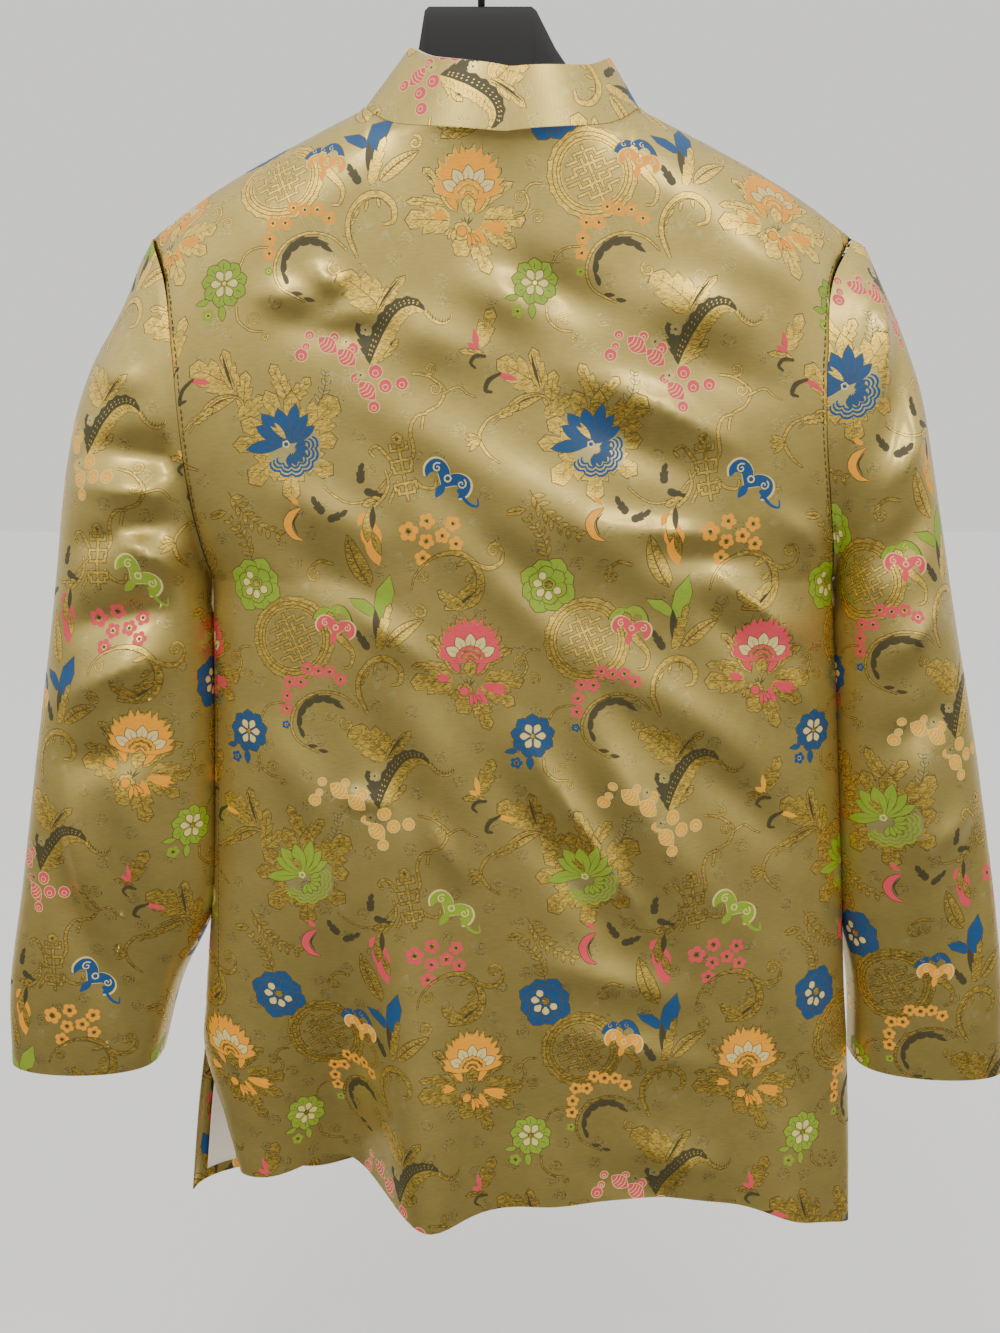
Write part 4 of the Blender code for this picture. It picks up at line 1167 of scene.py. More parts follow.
def painted():
    # the repeat as cells: in each cell row, a shape covers what lies between its edges' crossings
    wide, high, cell = cloth["repeatWide"], cloth["repeatHigh"], cloth["cell"]
    columns, rows = int(wide / cell), int(high / cell)
    cells = np.zeros((rows, columns), np.uint8)
    for code, points in wrapped():
        x0, x1 = (
            np.clip(int(v / cell) + k, 0, columns) for k,
            v in enumerate((points[:, 0].min(), points[:, 0].max()))
        )
        y0, y1 = (
            np.clip(int((v + high) / cell) + k, 0, rows) for k,
            v in enumerate((points[:, 1].min(), points[:, 1].max()))
        )
        if x1 <= x0 or y1 <= y0:
            continue
        xs = (np.arange(x0, x1) + 0.5) * cell
        ys = (np.arange(y0, y1) + 0.5) * cell - high
        turns = np.zeros((y1 - y0, x1 - x0 + 1), np.int32)
        for (ax, ay), (bx, by) in zip(points, np.roll(points, -1, axis=0)):
            first, last = np.searchsorted(ys, (min(ay, by), max(ay, by)))
            if last > first:
                crossing = ax + (ys[first:last] - ay) * (bx - ax) / (by - ay)
                np.add.at(
                    turns, (np.arange(first, last), np.searchsorted(xs, crossing)), 1 if by > ay else -1
                )
        cells[y0:y1, x0:x1][np.cumsum(turns, axis=1)[:, :-1] != 0] = code
    return cells


def kindAt(cells, x, y):
    # the cell under each place, and its colour turn flipped in every other row of repeats
    high, cell = cloth["repeatHigh"], cloth["cell"]
    row = np.clip((np.mod(y, high) / cell).astype(int), 0, cells.shape[0] - 1)
    column = np.clip((np.mod(x, cloth["repeatWide"]) / cell).astype(int), 0, cells.shape[1] - 1)
    return cells[row, column] ^ (np.floor(-y / high).astype(int) & 1).astype(np.uint8)


def sharedEdges(triangles, kinds, count):
    # edges whose two triangles are of different kinds
    pairs = np.sort(
        np.concatenate([triangles[:, [0, 1]], triangles[:, [1, 2]], triangles[:, [2, 0]]]), axis=1
    )
    kind = np.tile(kinds, 3)
    key = pairs[:, 0].astype(np.int64) * count + pairs[:, 1]
    order = np.argsort(key, kind="stable")
    twin = (key[order][1:] == key[order][:-1]) & (kind[order][1:] != kind[order][:-1])
    return pairs[order[:-1][twin]]


def thinned(points, pairs, slack):
    # drops a point between two others when it lies within the slack of their straight line
    rng = np.random.default_rng(5)
    for _ in range(9):
        degree = np.bincount(pairs.ravel(), minlength=len(points))
        both = np.concatenate([pairs, pairs[:, ::-1]])
        both = both[np.argsort(both[:, 0], kind="stable")]
        start = np.searchsorted(both[:, 0], np.arange(len(points)))
        two = np.flatnonzero(degree == 2)
        a, b = both[start[two], 1], both[start[two] + 1, 1]
        chord = points[b] - points[a]
        length = np.linalg.norm(chord, axis=1)
        off = points[two] - points[a]
        away = np.abs(chord[:, 0] * off[:, 1] - chord[:, 1] * off[:, 0]) / np.maximum(length, 1e-6)
        good = (away < slack) & (length < 9) & (a != b)
        rank = np.full(len(points), -1.0)
        rank[two[good]] = rng.random(int(good.sum()))
        chosen = good & (rank[two] > rank[a]) & (rank[two] > rank[b])
        if not chosen.any():
            break
        gone = np.zeros(len(points), bool)
        gone[two[chosen]] = True
        kept = ~(gone[pairs[:, 0]] | gone[pairs[:, 1]])
        pairs = np.concatenate([pairs[kept], np.stack([a[chosen], b[chosen]], axis=1)])
    return pairs


def outlinesOfRepeat(cells):
    # all edges of all shapes cut against each other, then only those between two kinds kept
    wide, high = cloth["repeatWide"], cloth["repeatHigh"]
    points, pairs = [], []
    for _, shape in wrapped():
        first = len(points)
        count = len(shape)
        pairs += [(first + k, first + (k + 1) % count) for k in range(count)]
        points += shape.tolist()
    cut = delaunay_2d_cdt(points, pairs, [], 0, 1e-4, False)
    flat = np.array([tuple(p) for p in cut[0]])
    triangles = np.array(cut[2])
    middle = flat[triangles].mean(axis=1)
    pairs = sharedEdges(triangles, kindAt(cells, middle[:, 0], middle[:, 1]), len(flat))
    middle = flat[pairs].mean(axis=1)
    inside = (middle[:, 0] >= 0) & (middle[:, 0] < wide) & (middle[:, 1] > -high) & (middle[:, 1] <= 0)
    pairs = thinned(flat, pairs[inside], cloth["slack"])
    used, pairs = np.unique(pairs, return_inverse=True)
    return flat[used], pairs.reshape(-1, 2)


def flatCut(points, row, column, tilt, run, view):
    # across: distance along each row in the level plane. along: distance down each column in the
    # upright plane. Both start from the true place on one row and one column, so the grain is straight.
    c, s = math.cos(tilt), math.sin(tilt)
    across = points[..., 0] * c + points[..., 2] * s
    along = points[..., 2] * c - points[..., 0] * s
    stepX = np.hypot(np.diff(across, axis=1), np.diff(points[..., 1], axis=1))
    stepZ = np.hypot(np.diff(along, axis=0), np.diff(points[..., 1], axis=0))
    sumX = np.concatenate([np.zeros((len(points), 1)), np.cumsum(stepX, axis=1)], axis=1)
    sumZ = np.concatenate([np.zeros((1, points.shape[1])), np.cumsum(stepZ, axis=0)], axis=0)
    p = run * (sumX - sumX[:, column : column + 1]) + view * across[:, column : column + 1]
    q = sumZ - sumZ[row : row + 1] + along[row : row + 1]
    return 1000 * p, 1000 * q


def sleeveCut(points, turns, tilt, run):
    # the tube laid flat: across is the way round each ring measured in its own slanting plane, from
    # the back's middle; along is the true place down the sleeve of each point's flattened position
    c, s = math.cos(tilt), math.sin(tilt)
    across = points[..., 0] * c + points[..., 2] * s
    along = points[..., 2] * c - points[..., 0] * s
    step = np.hypot(np.diff(across, axis=1), np.diff(points[..., 1], axis=1))
    total = np.concatenate([np.zeros((len(points), 1)), np.cumsum(step, axis=1)], axis=1)
    middle, outer, frontSpare = len(turns) // 4, len(turns) // 2, 0.03
    p = run * (total - total[:, middle : middle + 1]) + across[:, middle : middle + 1]
    # the front half is eased out to one falling edge, so that the cut hardly lies over itself
    crest = p[:, outer : outer + 1]
    share = (total - total[:, outer : outer + 1]) / (total[:, -1:] - total[:, outer : outer + 1])
    edge = run * (np.maximum.accumulate(run * p[::-1, -1])[::-1] + frontSpare)
    p = np.where(np.arange(p.shape[1]) > outer, crest + share * (edge[:, None] - crest), p)
    return 1000 * p, 1000 * along


def panel(name, points, p, q, phase, material, rim=0.0011):
    # the cloth's flat cut, its figures and a plain mesh of points triangulated together in the flat,
    # then each point carried onto the hung form
    rows, columns = p.shape
    step = 2
    ring = np.concatenate([
        np.stack([np.zeros(columns, int), np.arange(columns)], axis=1)[::step],
        np.stack([np.arange(1, rows), np.full(rows - 1, columns - 1)], axis=1)[::step],
        np.stack([np.full(columns - 1, rows - 1), np.arange(columns - 2, -1, -1)], axis=1)[::step],
        np.stack([np.arange(rows - 2, 0, -1), np.zeros(rows - 2, int)], axis=1)[::step],
    ])
    for corner in ((0, columns - 1), (rows - 1, columns - 1), (rows - 1, 0)):
        if not (ring == corner).all(axis=1).any():
            at = np.flatnonzero(np.abs(ring - corner).sum(axis=1) <= step)
            ring = np.insert(ring, at[len(at) // 2], corner, axis=0) if len(at) else ring
    outline = np.stack([p[ring[:, 0], ring[:, 1]], q[ring[:, 0], ring[:, 1]]], axis=1)
    area = 0.5 * float(
        np.sum(outline[:, 0] * np.roll(outline[:, 1], -1) - np.roll(outline[:, 0], -1) * outline[:, 1])
    )
    if area < 0:
        outline = outline[::-1]
    low, top = outline.min(axis=0), outline.max(axis=0)
    wide, high = cloth["repeatWide"], cloth["repeatHigh"]
    shift = np.array(phase)
    flat, pairs = [outline], []
    total = len(outline)
    figure, figurePairs = repeat
    for i in range(
        int(math.floor((low[0] + shift[0]) / wide)), int(math.floor((top[0] + shift[0]) / wide)) + 1
    ):
        for j in range(
            int(math.floor(-(top[1] + shift[1]) / high)),
            int(math.floor(-(low[1] + shift[1]) / high)) + 1
        ):
            placed = figure + [i * wide, -j * high] - shift
            near = ((placed > low - 3) & (placed < top + 3)).all(axis=1)
            kept = figurePairs[near[figurePairs].all(axis=1)]
            used, kept = np.unique(kept, return_inverse=True)
            flat.append(placed[used])
            pairs.append(kept.reshape(-1, 2) + total)
            total += len(used)
    pitch = cloth["pitch"]
    gx, gy = np.meshgrid(np.arange(low[0], top[0], pitch), np.arange(low[1], top[1], pitch * 0.87))
    gx = gx + (np.arange(gx.shape[0]) % 2)[:, None] * pitch / 2
    plain = np.stack([gx.ravel(), gy.ravel()], axis=1)
    plain = plain[kindAt(cells, plain[:, 0] + shift[0], plain[:, 1] + shift[1]) < 2]
    taken = np.concatenate(flat)
    size = cloth["clear"]
    code = lambda v: np.floor(v[:, 0] / size).astype(np.int64) * 100003 + np.floor(
        v[:, 1] / size
    ).astype(np.int64)
    plain = plain[~np.isin(code(plain), code(taken))]
    flat = np.concatenate([taken, plain])
    pairs = np.concatenate(pairs)
    cut = delaunay_2d_cdt(flat.tolist(), pairs.tolist(), [list(range(len(outline)))], 0, 1e-3, True)
    place = np.array([tuple(v) for v in cut[0]])
    triangles = np.array([t for t, inside in zip(cut[2], cut[5]) if inside])
    used, triangles = np.unique(triangles, return_inverse=True)
    triangles = triangles.reshape(-1, 3)
    place = place[used]
    middle = place[triangles].mean(axis=1)
    kinds = kindAt(cells, middle[:, 0] + shift[0], middle[:, 1] + shift[1])
    solid, normal = carried(points, p, q, place)
    shown = build(name, solid, normal, triangles, threads[kinds], (place + shift) / 1000, material, rim)
    cut = tuple(float(v) / 1000 for v in top - low)
    area = abs(area) / 1e6
    print(f"{name}: {len(triangles)} triangles, cut {cut[0]:.3f} x {cut[1]:.3f} m, {area:.4f} m2")
    return shown, cut, area


def carried(points, p, q, place):
    # finds each flat place in the grid's flat triangles and takes the same share of its three corners
    rows, columns = p.shape
    index = np.arange(rows * columns).reshape(rows, columns)
    a, b = index[:-1, :-1].ravel(), index[:-1, 1:].ravel()
    c, d = index[1:, 1:].ravel(), index[1:, :-1].ravel()
    corners = np.concatenate([np.stack([a, b, c], axis=1), np.stack([a, c, d], axis=1)])
    flat = np.stack([p.ravel(), q.ravel()], axis=1)
    solid = points.reshape(-1, 3)
    normals = gridNormals(points).reshape(-1, 3)
    tree = BVHTree.FromPolygons([(x, y, 0) for x, y in flat], corners.tolist())
    hits = [tree.find_nearest((x, y, 0))[2] for x, y in place]
    tri = corners[np.array(hits)]
    first, second, third = flat[tri[:, 0]], flat[tri[:, 1]], flat[tri[:, 2]]
    cross = lambda u, v: u[:, 0] * v[:, 1] - u[:, 1] * v[:, 0]
    whole = cross(second - first, third - first)
    whole = np.where(np.abs(whole) < 1e-9, 1e-9, whole)
    wb = np.clip(cross(place - first, third - first) / whole, 0, 1)
    wc = np.clip(cross(second - first, place - first) / whole, 0, 1)
    wa = np.clip(1 - wb - wc, 0, 1)
    share = np.stack([wa, wb, wc], axis=1)
    share /= share.sum(axis=1, keepdims=True)
    where = (solid[tri] * share[..., None]).sum(axis=1)
    normal = (normals[tri] * share[..., None]).sum(axis=1)
    return where, normal / np.maximum(np.linalg.norm(normal, axis=1, keepdims=True), 1e-9)


def build(name, solid, normal, triangles, colours, uv, material, rim):
    # the mesh with a small rounded edge turned inwards all round, smooth normals and thread colours
    sides = solid[triangles]
    facing = np.cross(sides[:, 1] - sides[:, 0], sides[:, 2] - sides[:, 0])
    if (facing * normal[triangles[:, 0]]).sum() < 0:
        normal = -normal
    pairs = np.concatenate([triangles[:, [0, 1]], triangles[:, [1, 2]], triangles[:, [2, 0]]])
    owner = np.tile(np.arange(len(triangles)), 3)
    key = np.sort(pairs, axis=1)
    key = key[:, 0].astype(np.int64) * len(solid) + key[:, 1]
    _, first, count = np.unique(key, return_index=True, return_counts=True)
    border = first[count == 1]
    edge, owner = pairs[border], owner[border]
    out = np.zeros_like(solid)
    away = np.cross(solid[edge[:, 1]] - solid[edge[:, 0]], normal[edge[:, 0]])
    np.add.at(out, edge[:, 0], away)
    np.add.at(out, edge[:, 1], away)
    ring = np.unique(edge)
    out = out[ring] / np.maximum(np.linalg.norm(out[ring], axis=1, keepdims=True), 1e-9)
    number = np.full(len(solid), -1)
    number[ring] = np.arange(len(ring))
    base = len(solid)
    first = solid[ring] + out * rim * 0.25 - normal[ring] * rim * 0.35
    second = solid[ring] - normal[ring] * rim
    a, b = edge[:, 0], edge[:, 1]
    ia, ib = base + number[a], base + number[b]
    ja, jb = ia + len(ring), ib + len(ring)
    extra = np.concatenate([
        np.stack([b, a, ia], 1), np.stack([b, ia, ib], 1), np.stack([ib, ia, ja], 1), np.stack(
            [ib, ja, jb], 1
        ),
    ])
    faces = np.concatenate([triangles, extra])
    shade = np.concatenate([colours, np.tile(colours[owner], (4, 1))])
    points = np.concatenate([solid, first, second])
    normals = np.concatenate([normal, out * 0.8 + normal[ring] * 0.4, out * 0.5 - normal[ring] * 0.6])
    normals /= np.maximum(np.linalg.norm(normals, axis=1, keepdims=True), 1e-9)
    flat = np.concatenate([uv, uv[ring], uv[ring]])
    return addMesh(name, points, faces, material, normals, flat, shade)


def phaseFrom(points, p, q, x, z, motif, back=True):
    # shift that puts a point of the repeat at the surface point nearest to this x and z
    side = points[..., 1] < 0.001 if back else points[..., 1] > -0.001
    away = np.where(side, (points[..., 0] - x) ** 2 + (points[..., 2] - z) ** 2, 9.0)
    at = np.unravel_index(np.argmin(away), away.shape)
    return motif[0] - p[at], motif[1] - q[at]


def addMesh(name, points, faces, material, normals=None, flat=None, shade=None):
    # a mesh of equal faces, with flat places as its UV and a thread colour for each face
    mesh = bpy.data.meshes.new(name)
    corners = faces.shape[1]
    mesh.vertices.add(len(points))
    mesh.vertices.foreach_set("co", np.asarray(points, np.float32).ravel())
    mesh.loops.add(faces.size)
    mesh.loops.foreach_set("vertex_index", faces.astype(np.int32).ravel())
    mesh.polygons.add(len(faces))
    mesh.polygons.foreach_set("loop_start", np.arange(0, faces.size, corners, dtype=np.int32))
    mesh.polygons.foreach_set("loop_total", np.full(len(faces), corners, np.int32))
    mesh.update(calc_edges=True)
    mesh.shade_smooth()
    if flat is not None:
        layer = mesh.uv_layers.new(name="cut")
        layer.data.foreach_set("uv", flat[faces.ravel()].astype(np.float32).ravel())
    if shade is not None:
        layer = mesh.attributes.new("thread", "FLOAT_COLOR", "CORNER")
        layer.data.foreach_set("color", np.repeat(shade, corners, axis=0).astype(np.float32).ravel())
    if normals is not None:
        mesh.normals_split_custom_set_from_vertices(normals.astype(np.float32).tolist())
    mesh.materials.append(material)
    return linked(bpy.data.objects.new(name, mesh))


def brocadeMaterial():
    # Silk and metal-thread brocade: a satin ground with a soft sheen, silk figures a little matter,
    # and flat gilt threads that glitter one by one, their glints partly painted into the colour. Threads
    # are 0.25 mm apart in the real cloth and drawn 0.7 mm apart so that they show.
    made, tree, shader = newMaterial("silk and gold thread brocade", silks["ground"], 0.36, 0.4)
    threadSpacing = 0.0007
    thread = addNode(tree, "Attribute", "thread")
    cut = addNode(tree, "UVMap", "cut")
    isGold = addNode(tree, "Math", "GREATER_THAN", {0: thread.outputs["Alpha"], 1: 0.9})
    isGround = addNode(tree, "Math", "LESS_THAN", {0: thread.outputs["Alpha"], 1: 0.3})
    # weft streaks: noise stretched along the thread
    streakAt = addNode(tree, "Mapping", None, {0: cut, "Scale": (160.0, 900.0, 1.0)})
    streak = addNode(
        tree, "TexNoise", None, {"Vector": streakAt, "Scale": 1.0, "Detail": 2.0}
    ).outputs["Fac"]
    mottle = addNode(
        tree, "TexNoise", None, {"Vector": cut, "Scale": 55.0, "Detail": 2.0}
    ).outputs["Fac"]
    # faint spirals in the ground: arm number = radius / pitch + turn, inside a small disc round
    # each cell's point
    cellAt = addNode(tree, "Mapping", None, {0: cut, "Scale": (40.0, 44.0, 1.0)})
    cellTex = addNode(tree, "TexVoronoi", "2D", {"Vector": cellAt, "Scale": 1.0, "Randomness": 0.75})
    centred = addNode(tree, "VectorMath", "SUBTRACT", {0: cellAt, 1: cellTex.outputs["Position"]})
    parts = addNode(tree, "SeparateXYZ", None, {0: centred})
    turn = addNode(tree, "Math", "ARCTAN2", {0: parts.outputs[1], 1: parts.outputs[0]})
    arm = addNode(tree, "Math", "MULTIPLY", {0: turn, 1: 1 / (2 * math.pi)})
    ring = addNode(tree, "Math", "MULTIPLY_ADD", {0: cellTex.outputs["Distance"], 1: 13.0, 2: arm})
    wave = addNode(tree, "Math", "FRACT", {0: ring})
    armOn = addNode(tree, "Math", "LESS_THAN", {0: wave, 1: 0.42})
    near = addNode(tree, "Math", "LESS_THAN", {0: cellTex.outputs["Distance"], 1: 0.20})
    spiral = addNode(tree, "Math", "MULTIPLY", {0: armOn, 1: near})
    figured = addNode(tree, "Math", "MULTIPLY", {0: spiral, 1: isGround})
    # gilt glitter: each short float of thread gets its own brightness in its colour, partly the gilt's
    # uneven tone and partly painted glints
    floatAt = addNode(
        tree, "Mapping", None, {0: cut, "Scale": (0.45 / threadSpacing, 1 / threadSpacing, 1.0)}
    )
    floats = addNode(tree, "TexVoronoi", "2D", {"Vector": floatAt, "Scale": 1.0})
    bright = addNode(tree, "SeparateColor", None, {0: floats.outputs["Color"]})
    # painted glints: each float's brightness, partly its own uneven tone, brightens or darkens the gilt
    # and the ground's spirals
    paintedGlitter = addNode(tree, "MapRange", None, {0: bright, 1: 0.0, 2: 1.0, 3: 0.68, 4: 1.32})
    groundShade = addNode(tree, "MapRange", None, {0: streak, 1: 0.3, 2: 0.7, 3: 0.93, 4: 1.06})
    mottleShade = addNode(tree, "MapRange", None, {0: mottle, 1: 0.3, 2: 0.7, 3: 0.94, 4: 1.06})
    plainShade = addNode(tree, "Math", "MULTIPLY", {0: groundShade, 1: mottleShade})
    giltOrTone = addNode(tree, "Math", "MAXIMUM", {0: isGold, 1: figured})
    shade = addNode(tree, "Mix", "FLOAT", {0: giltOrTone, 2: plainShade, 3: paintedGlitter})
    toneColour = (*linear(silks["tone"]), 1.0)
    toned = addNode(tree, "Math", "MULTIPLY", {0: figured, 1: 0.5})
    base = addNode(
        tree, "Mix", "RGBA", {0: toned, 6: thread.outputs["Color"], 7: toneColour}
    ).outputs[2]
    scaled = addNode(tree, "VectorMath", "SCALE", {0: base, "Scale": shade})
    tree.links.new(scaled.outputs[0], shader.inputs["Base Color"])
    plainMetal = addNode(tree, "Math", "MULTIPLY_ADD", {0: isGround, 1: 0.57, 2: 0.15})
    metal = addNode(tree, "Mix", "FLOAT", {0: giltOrTone, 2: plainMetal, 3: 0.88})
    tree.links.new(metal.outputs[0], shader.inputs["Metallic"])
    rough = addNode(tree, "MapRange", None, {0: bright, 1: 0.0, 2: 1.0, 3: 0.22, 4: 0.48})
    plainRough = addNode(tree, "Math", "MULTIPLY_ADD", {0: isGround, 1: -0.17, 2: 0.50})
    roughness = addNode(tree, "Mix", "FLOAT", {0: giltOrTone, 2: plainRough, 3: rough})
    tree.links.new(roughness.outputs[0], shader.inputs["Roughness"])
    depthOf = addNode(tree, "Math", "MULTIPLY", {0: floats.outputs["Distance"], 1: giltOrTone})
    bump = addNode(tree, "Bump", True, {"Strength": 0.16, "Distance": 0.0003, "Height": depthOf})
    tree.links.new(bump.outputs[0], shader.inputs["Normal"])
    return made


def satinMaterial():
    # Acetate lining satin: smooth and softly shiny, with hardly any weave to be seen
    return newMaterial("ivory lining satin", "#D9CDBD", 0.42)[0]


def plasticMaterial():
    # Moulded black polystyrene: a slightly dull, even sheen
    return newMaterial("moulded black plastic", "#0E1013", 0.62)[0]


def sewingMaterial():
    # Spun polyester sewing thread: dull, and a little fuzzy
    return newMaterial("brown sewing thread", "#4A3C1E", 0.8)[0]


def steelMaterial():
    # Wire dipped in black enamel: glossier than the plastic
    return newMaterial("black enamelled steel wire", "#1B1C1E", 0.28, 0.1)[0]


drawRepeat()
cells = painted()
repeat = outlinesOfRepeat(cells)
threads = threadTable()
print("repeat drawn:", len(repeat[0]), "points")
brocade = brocadeMaterial()
satin = satinMaterial()
plastic = plasticMaterial()
steel = steelMaterial()
sewing = sewingMaterial()


def gridFaces(rows, columns, closed=False):
    # one quad between each four neighbours; closed joins the last column to the first
    index = np.arange(rows * columns).reshape(rows, columns)
    if closed:
        index = np.concatenate([index, index[:, :1]], axis=1)
    quads = np.stack([index[:-1, :-1], index[:-1, 1:], index[1:, 1:], index[1:, :-1]], axis=-1)
    return quads.reshape(-1, 4)


def gridPiece(name, points, material, outward=True, closed=False, wall=0.0):
    # a plain grid of quads, its wall added inwards
    faces = gridFaces(*points.shape[:2], closed)
    if not outward:
        faces = faces[:, ::-1]
    shown = addMesh(name, points.reshape(-1, 3), faces, material)
    if wall:
        thick = shown.modifiers.new("wall", "SOLIDIFY")
        thick.thickness = wall
        thick.offset = -1.0
    return shown


def asPart(shown, nodes):
    # every shown piece rides on the one body
    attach(shown, "root")
    if nodes:
        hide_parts(*nodes)
    return shown


# Body panels. Values: the grid, the x and z that each motif's place in the repeat lies at, and the
# lining's place inside the cloth.
body = {
    "columns": 200,
    "lowRows": 180,
    "highRows": 115,
    "backAt": (-0.0075, -0.4720),
    "backMotif": (0.0, -cloth["repeatHigh"]),
    "frontZ": -0.3300,
    "frontMotif": (94.0, 0.0),
    "liningIn": 0.0020,
    "liningWall": 0.0006,
    "liningMargin": 0.012,
    "liningHem": 0.020,
}


def bodyShares(count):
    # closer towards both side edges, where the cloth turns fastest
    s = np.linspace(0, 1, count)
    return 0.45 * s + 0.55 * (0.5 - 0.5 * np.cos(math.pi * s))


levels = np.concatenate([np.linspace(0, 1, body["lowRows"])[:-1], np.linspace(1, 2, body["highRows"])])
armpitRow = body["lowRows"] - 1
shares = bodyShares(body["columns"])
backGrid = bodyPoints(-1, shares, levels, backFolds)
bigFolds = {key: values[:2] for key, values in backFolds.items()}
p, q = flatCut(bodyPoints(-1, shares, levels, bigFolds), armpitRow, body["columns"] // 2, 0.0, 1, 1)
phase = phaseFrom(backGrid, p, q, *body["backAt"], body["backMotif"])
backCloth, backCut, backArea = panel("backCloth", backGrid, p, q, phase, brocade)
asPart(backCloth, ["back"])

# Stitches, in metres: dashes beside each armhole and down the left side seam.
stitch = {
    "length": 0.0026, "gap": 0.0016, "half": 0.00024, "share": 0.006, "seamTop": (-0.1766, -0.43),
    "seamLow": (-0.186, -0.735)
}


def dashes(path):
    # small square bars laid along the path, one for each length and gap
    step = np.linalg.norm(np.diff(path, axis=0), axis=1)
    far = np.concatenate([[0], np.cumsum(step)])
    starts = np.arange(0, far[-1] - stitch["length"], stitch["length"] + stitch["gap"])
    at = lambda s: np.stack([np.interp(s, far, path[:, k]) for k in range(3)], axis=-1)
    first, last = at(starts), at(starts + stitch["length"])
    along = (last - first) / stitch["length"]
    side = np.cross(along, [0.0, -1.0, 0.0])
    side *= stitch["half"] / np.linalg.norm(side, axis=-1, keepdims=True)
    out = np.array([0.0, -stitch["half"], 0.0])
    corners = [
        end + a * side + b * out for end in (first, last) for a,
        b in ((-1, -1), (1, -1), (1, 1), (-1, 1))
    ]
    faces = np.array(
        [(0, 3, 2, 1), (4, 5, 6, 7), (0, 1, 5, 4), (1, 2, 6, 5), (2, 3, 7, 6), (3, 0, 4, 7)]
    )
    return np.stack(corners, axis=1).reshape(-1, 3), (
        faces[None] + 8 * np.arange(len(starts))[:, None, None]
    ).reshape(-1, 4)


seamZ = np.linspace(stitch["seamTop"][1], stitch["seamLow"][1], 80)
seamX = np.interp(
    -seamZ, [-stitch["seamTop"][1], -stitch["seamLow"][1]], [stitch["seamTop"][0], stitch["seamLow"][0]]
)
leftHalf = backGrid[:, : body["columns"] // 2]
rowZ = leftHalf[: armpitRow, 8, 2]
seamY = np.array(
    [
        np.interp(x, row[:, 0], row[:, 1]) for x,
        row in zip(seamX, leftHalf[np.searchsorted(rowZ, seamZ).clip(0, armpitRow - 1)])
    ]
)
stitchPaths = [np.stack([seamX, seamY, seamZ], axis=-1)]
for share in (stitch["share"], 1 - stitch["share"]):
    stitchPaths.append(bodyPoints(-1, np.array([share]), np.linspace(1.03, 1.9, 120), backFolds)[:, 0])
bars = [dashes(path) for path in stitchPaths]
offsets = np.cumsum([0] + [len(points) for points, _ in bars[:-1]])
stitches = addMesh(
    "stitches", np.concatenate([points for points, _ in bars]),
    np.concatenate([faces + k for (_, faces), k in zip(bars, offsets)]), sewing
)
asPart(stitches, [])

width = armhole["right"][-1] - armhole["left"][-1]
neckMiddle = (form["middleX"] - armhole["left"][-1]) / width
for side in ("left", "right"):
    half = bodyShares(2 * body["columns"] // 3)
    start = neckMiddle + form["opening"] / width
    sharesHere = start + half * (1 - start)
    if side == "left":
        sharesHere = half * (neckMiddle - form["opening"] / width)
    grid = bodyPoints(1, sharesHere, levels, frontFolds)
    p, q = flatCut(bodyPoints(1, sharesHere, levels), armpitRow, len(sharesHere) // 2, 0.0, -1, -1)
    phase = phaseFrom(grid, p, q, form["middleX"], body["frontZ"], body["frontMotif"], False)
    shown, cut, area = panel(f"frontCloth{side.title()}", grid, p, q, phase, brocade)
    asPart(shown, [f"front_{side}"])


def liningPiece(name, face, sharesHere, outward):
    # the body's own points moved in along their normals, stopping short of hem and sides
    low, high = sharesHere[0], sharesHere[-1]
    margin = body["liningMargin"]
    inner = low + margin + (sharesHere - low) * (high - low - 2 * margin) / (high - low)
    rows = np.concatenate([np.linspace(body["liningHem"], 1, 70)[:-1], np.linspace(1, 1.93, 40)])
    points = bodyPoints(face, inner, rows, backFolds if face < 0 else frontFolds)
    normal = gridNormals(points)
    normal *= np.sign((normal * [0, face, 0]).sum(axis=-1, keepdims=True) + 1e-9)
    return gridPiece(
        name, points - body["liningIn"] * normal, satin, outward, False, body["liningWall"]
    )


linings = []
linings.append(liningPiece("liningBack", -1, bodyShares(110), True))
asPart(linings[-1], ["lining_back"])
for side in ("left", "right"):
    start, stop = (0, neckMiddle) if side == "left" else (neckMiddle, 1)
    linings.append(
        liningPiece(f"liningFront{side.title()}", 1, start + bodyShares(70) * (stop - start), False)
    )
    asPart(linings[-1], [f"lining_front_{side}"])
print("body done")

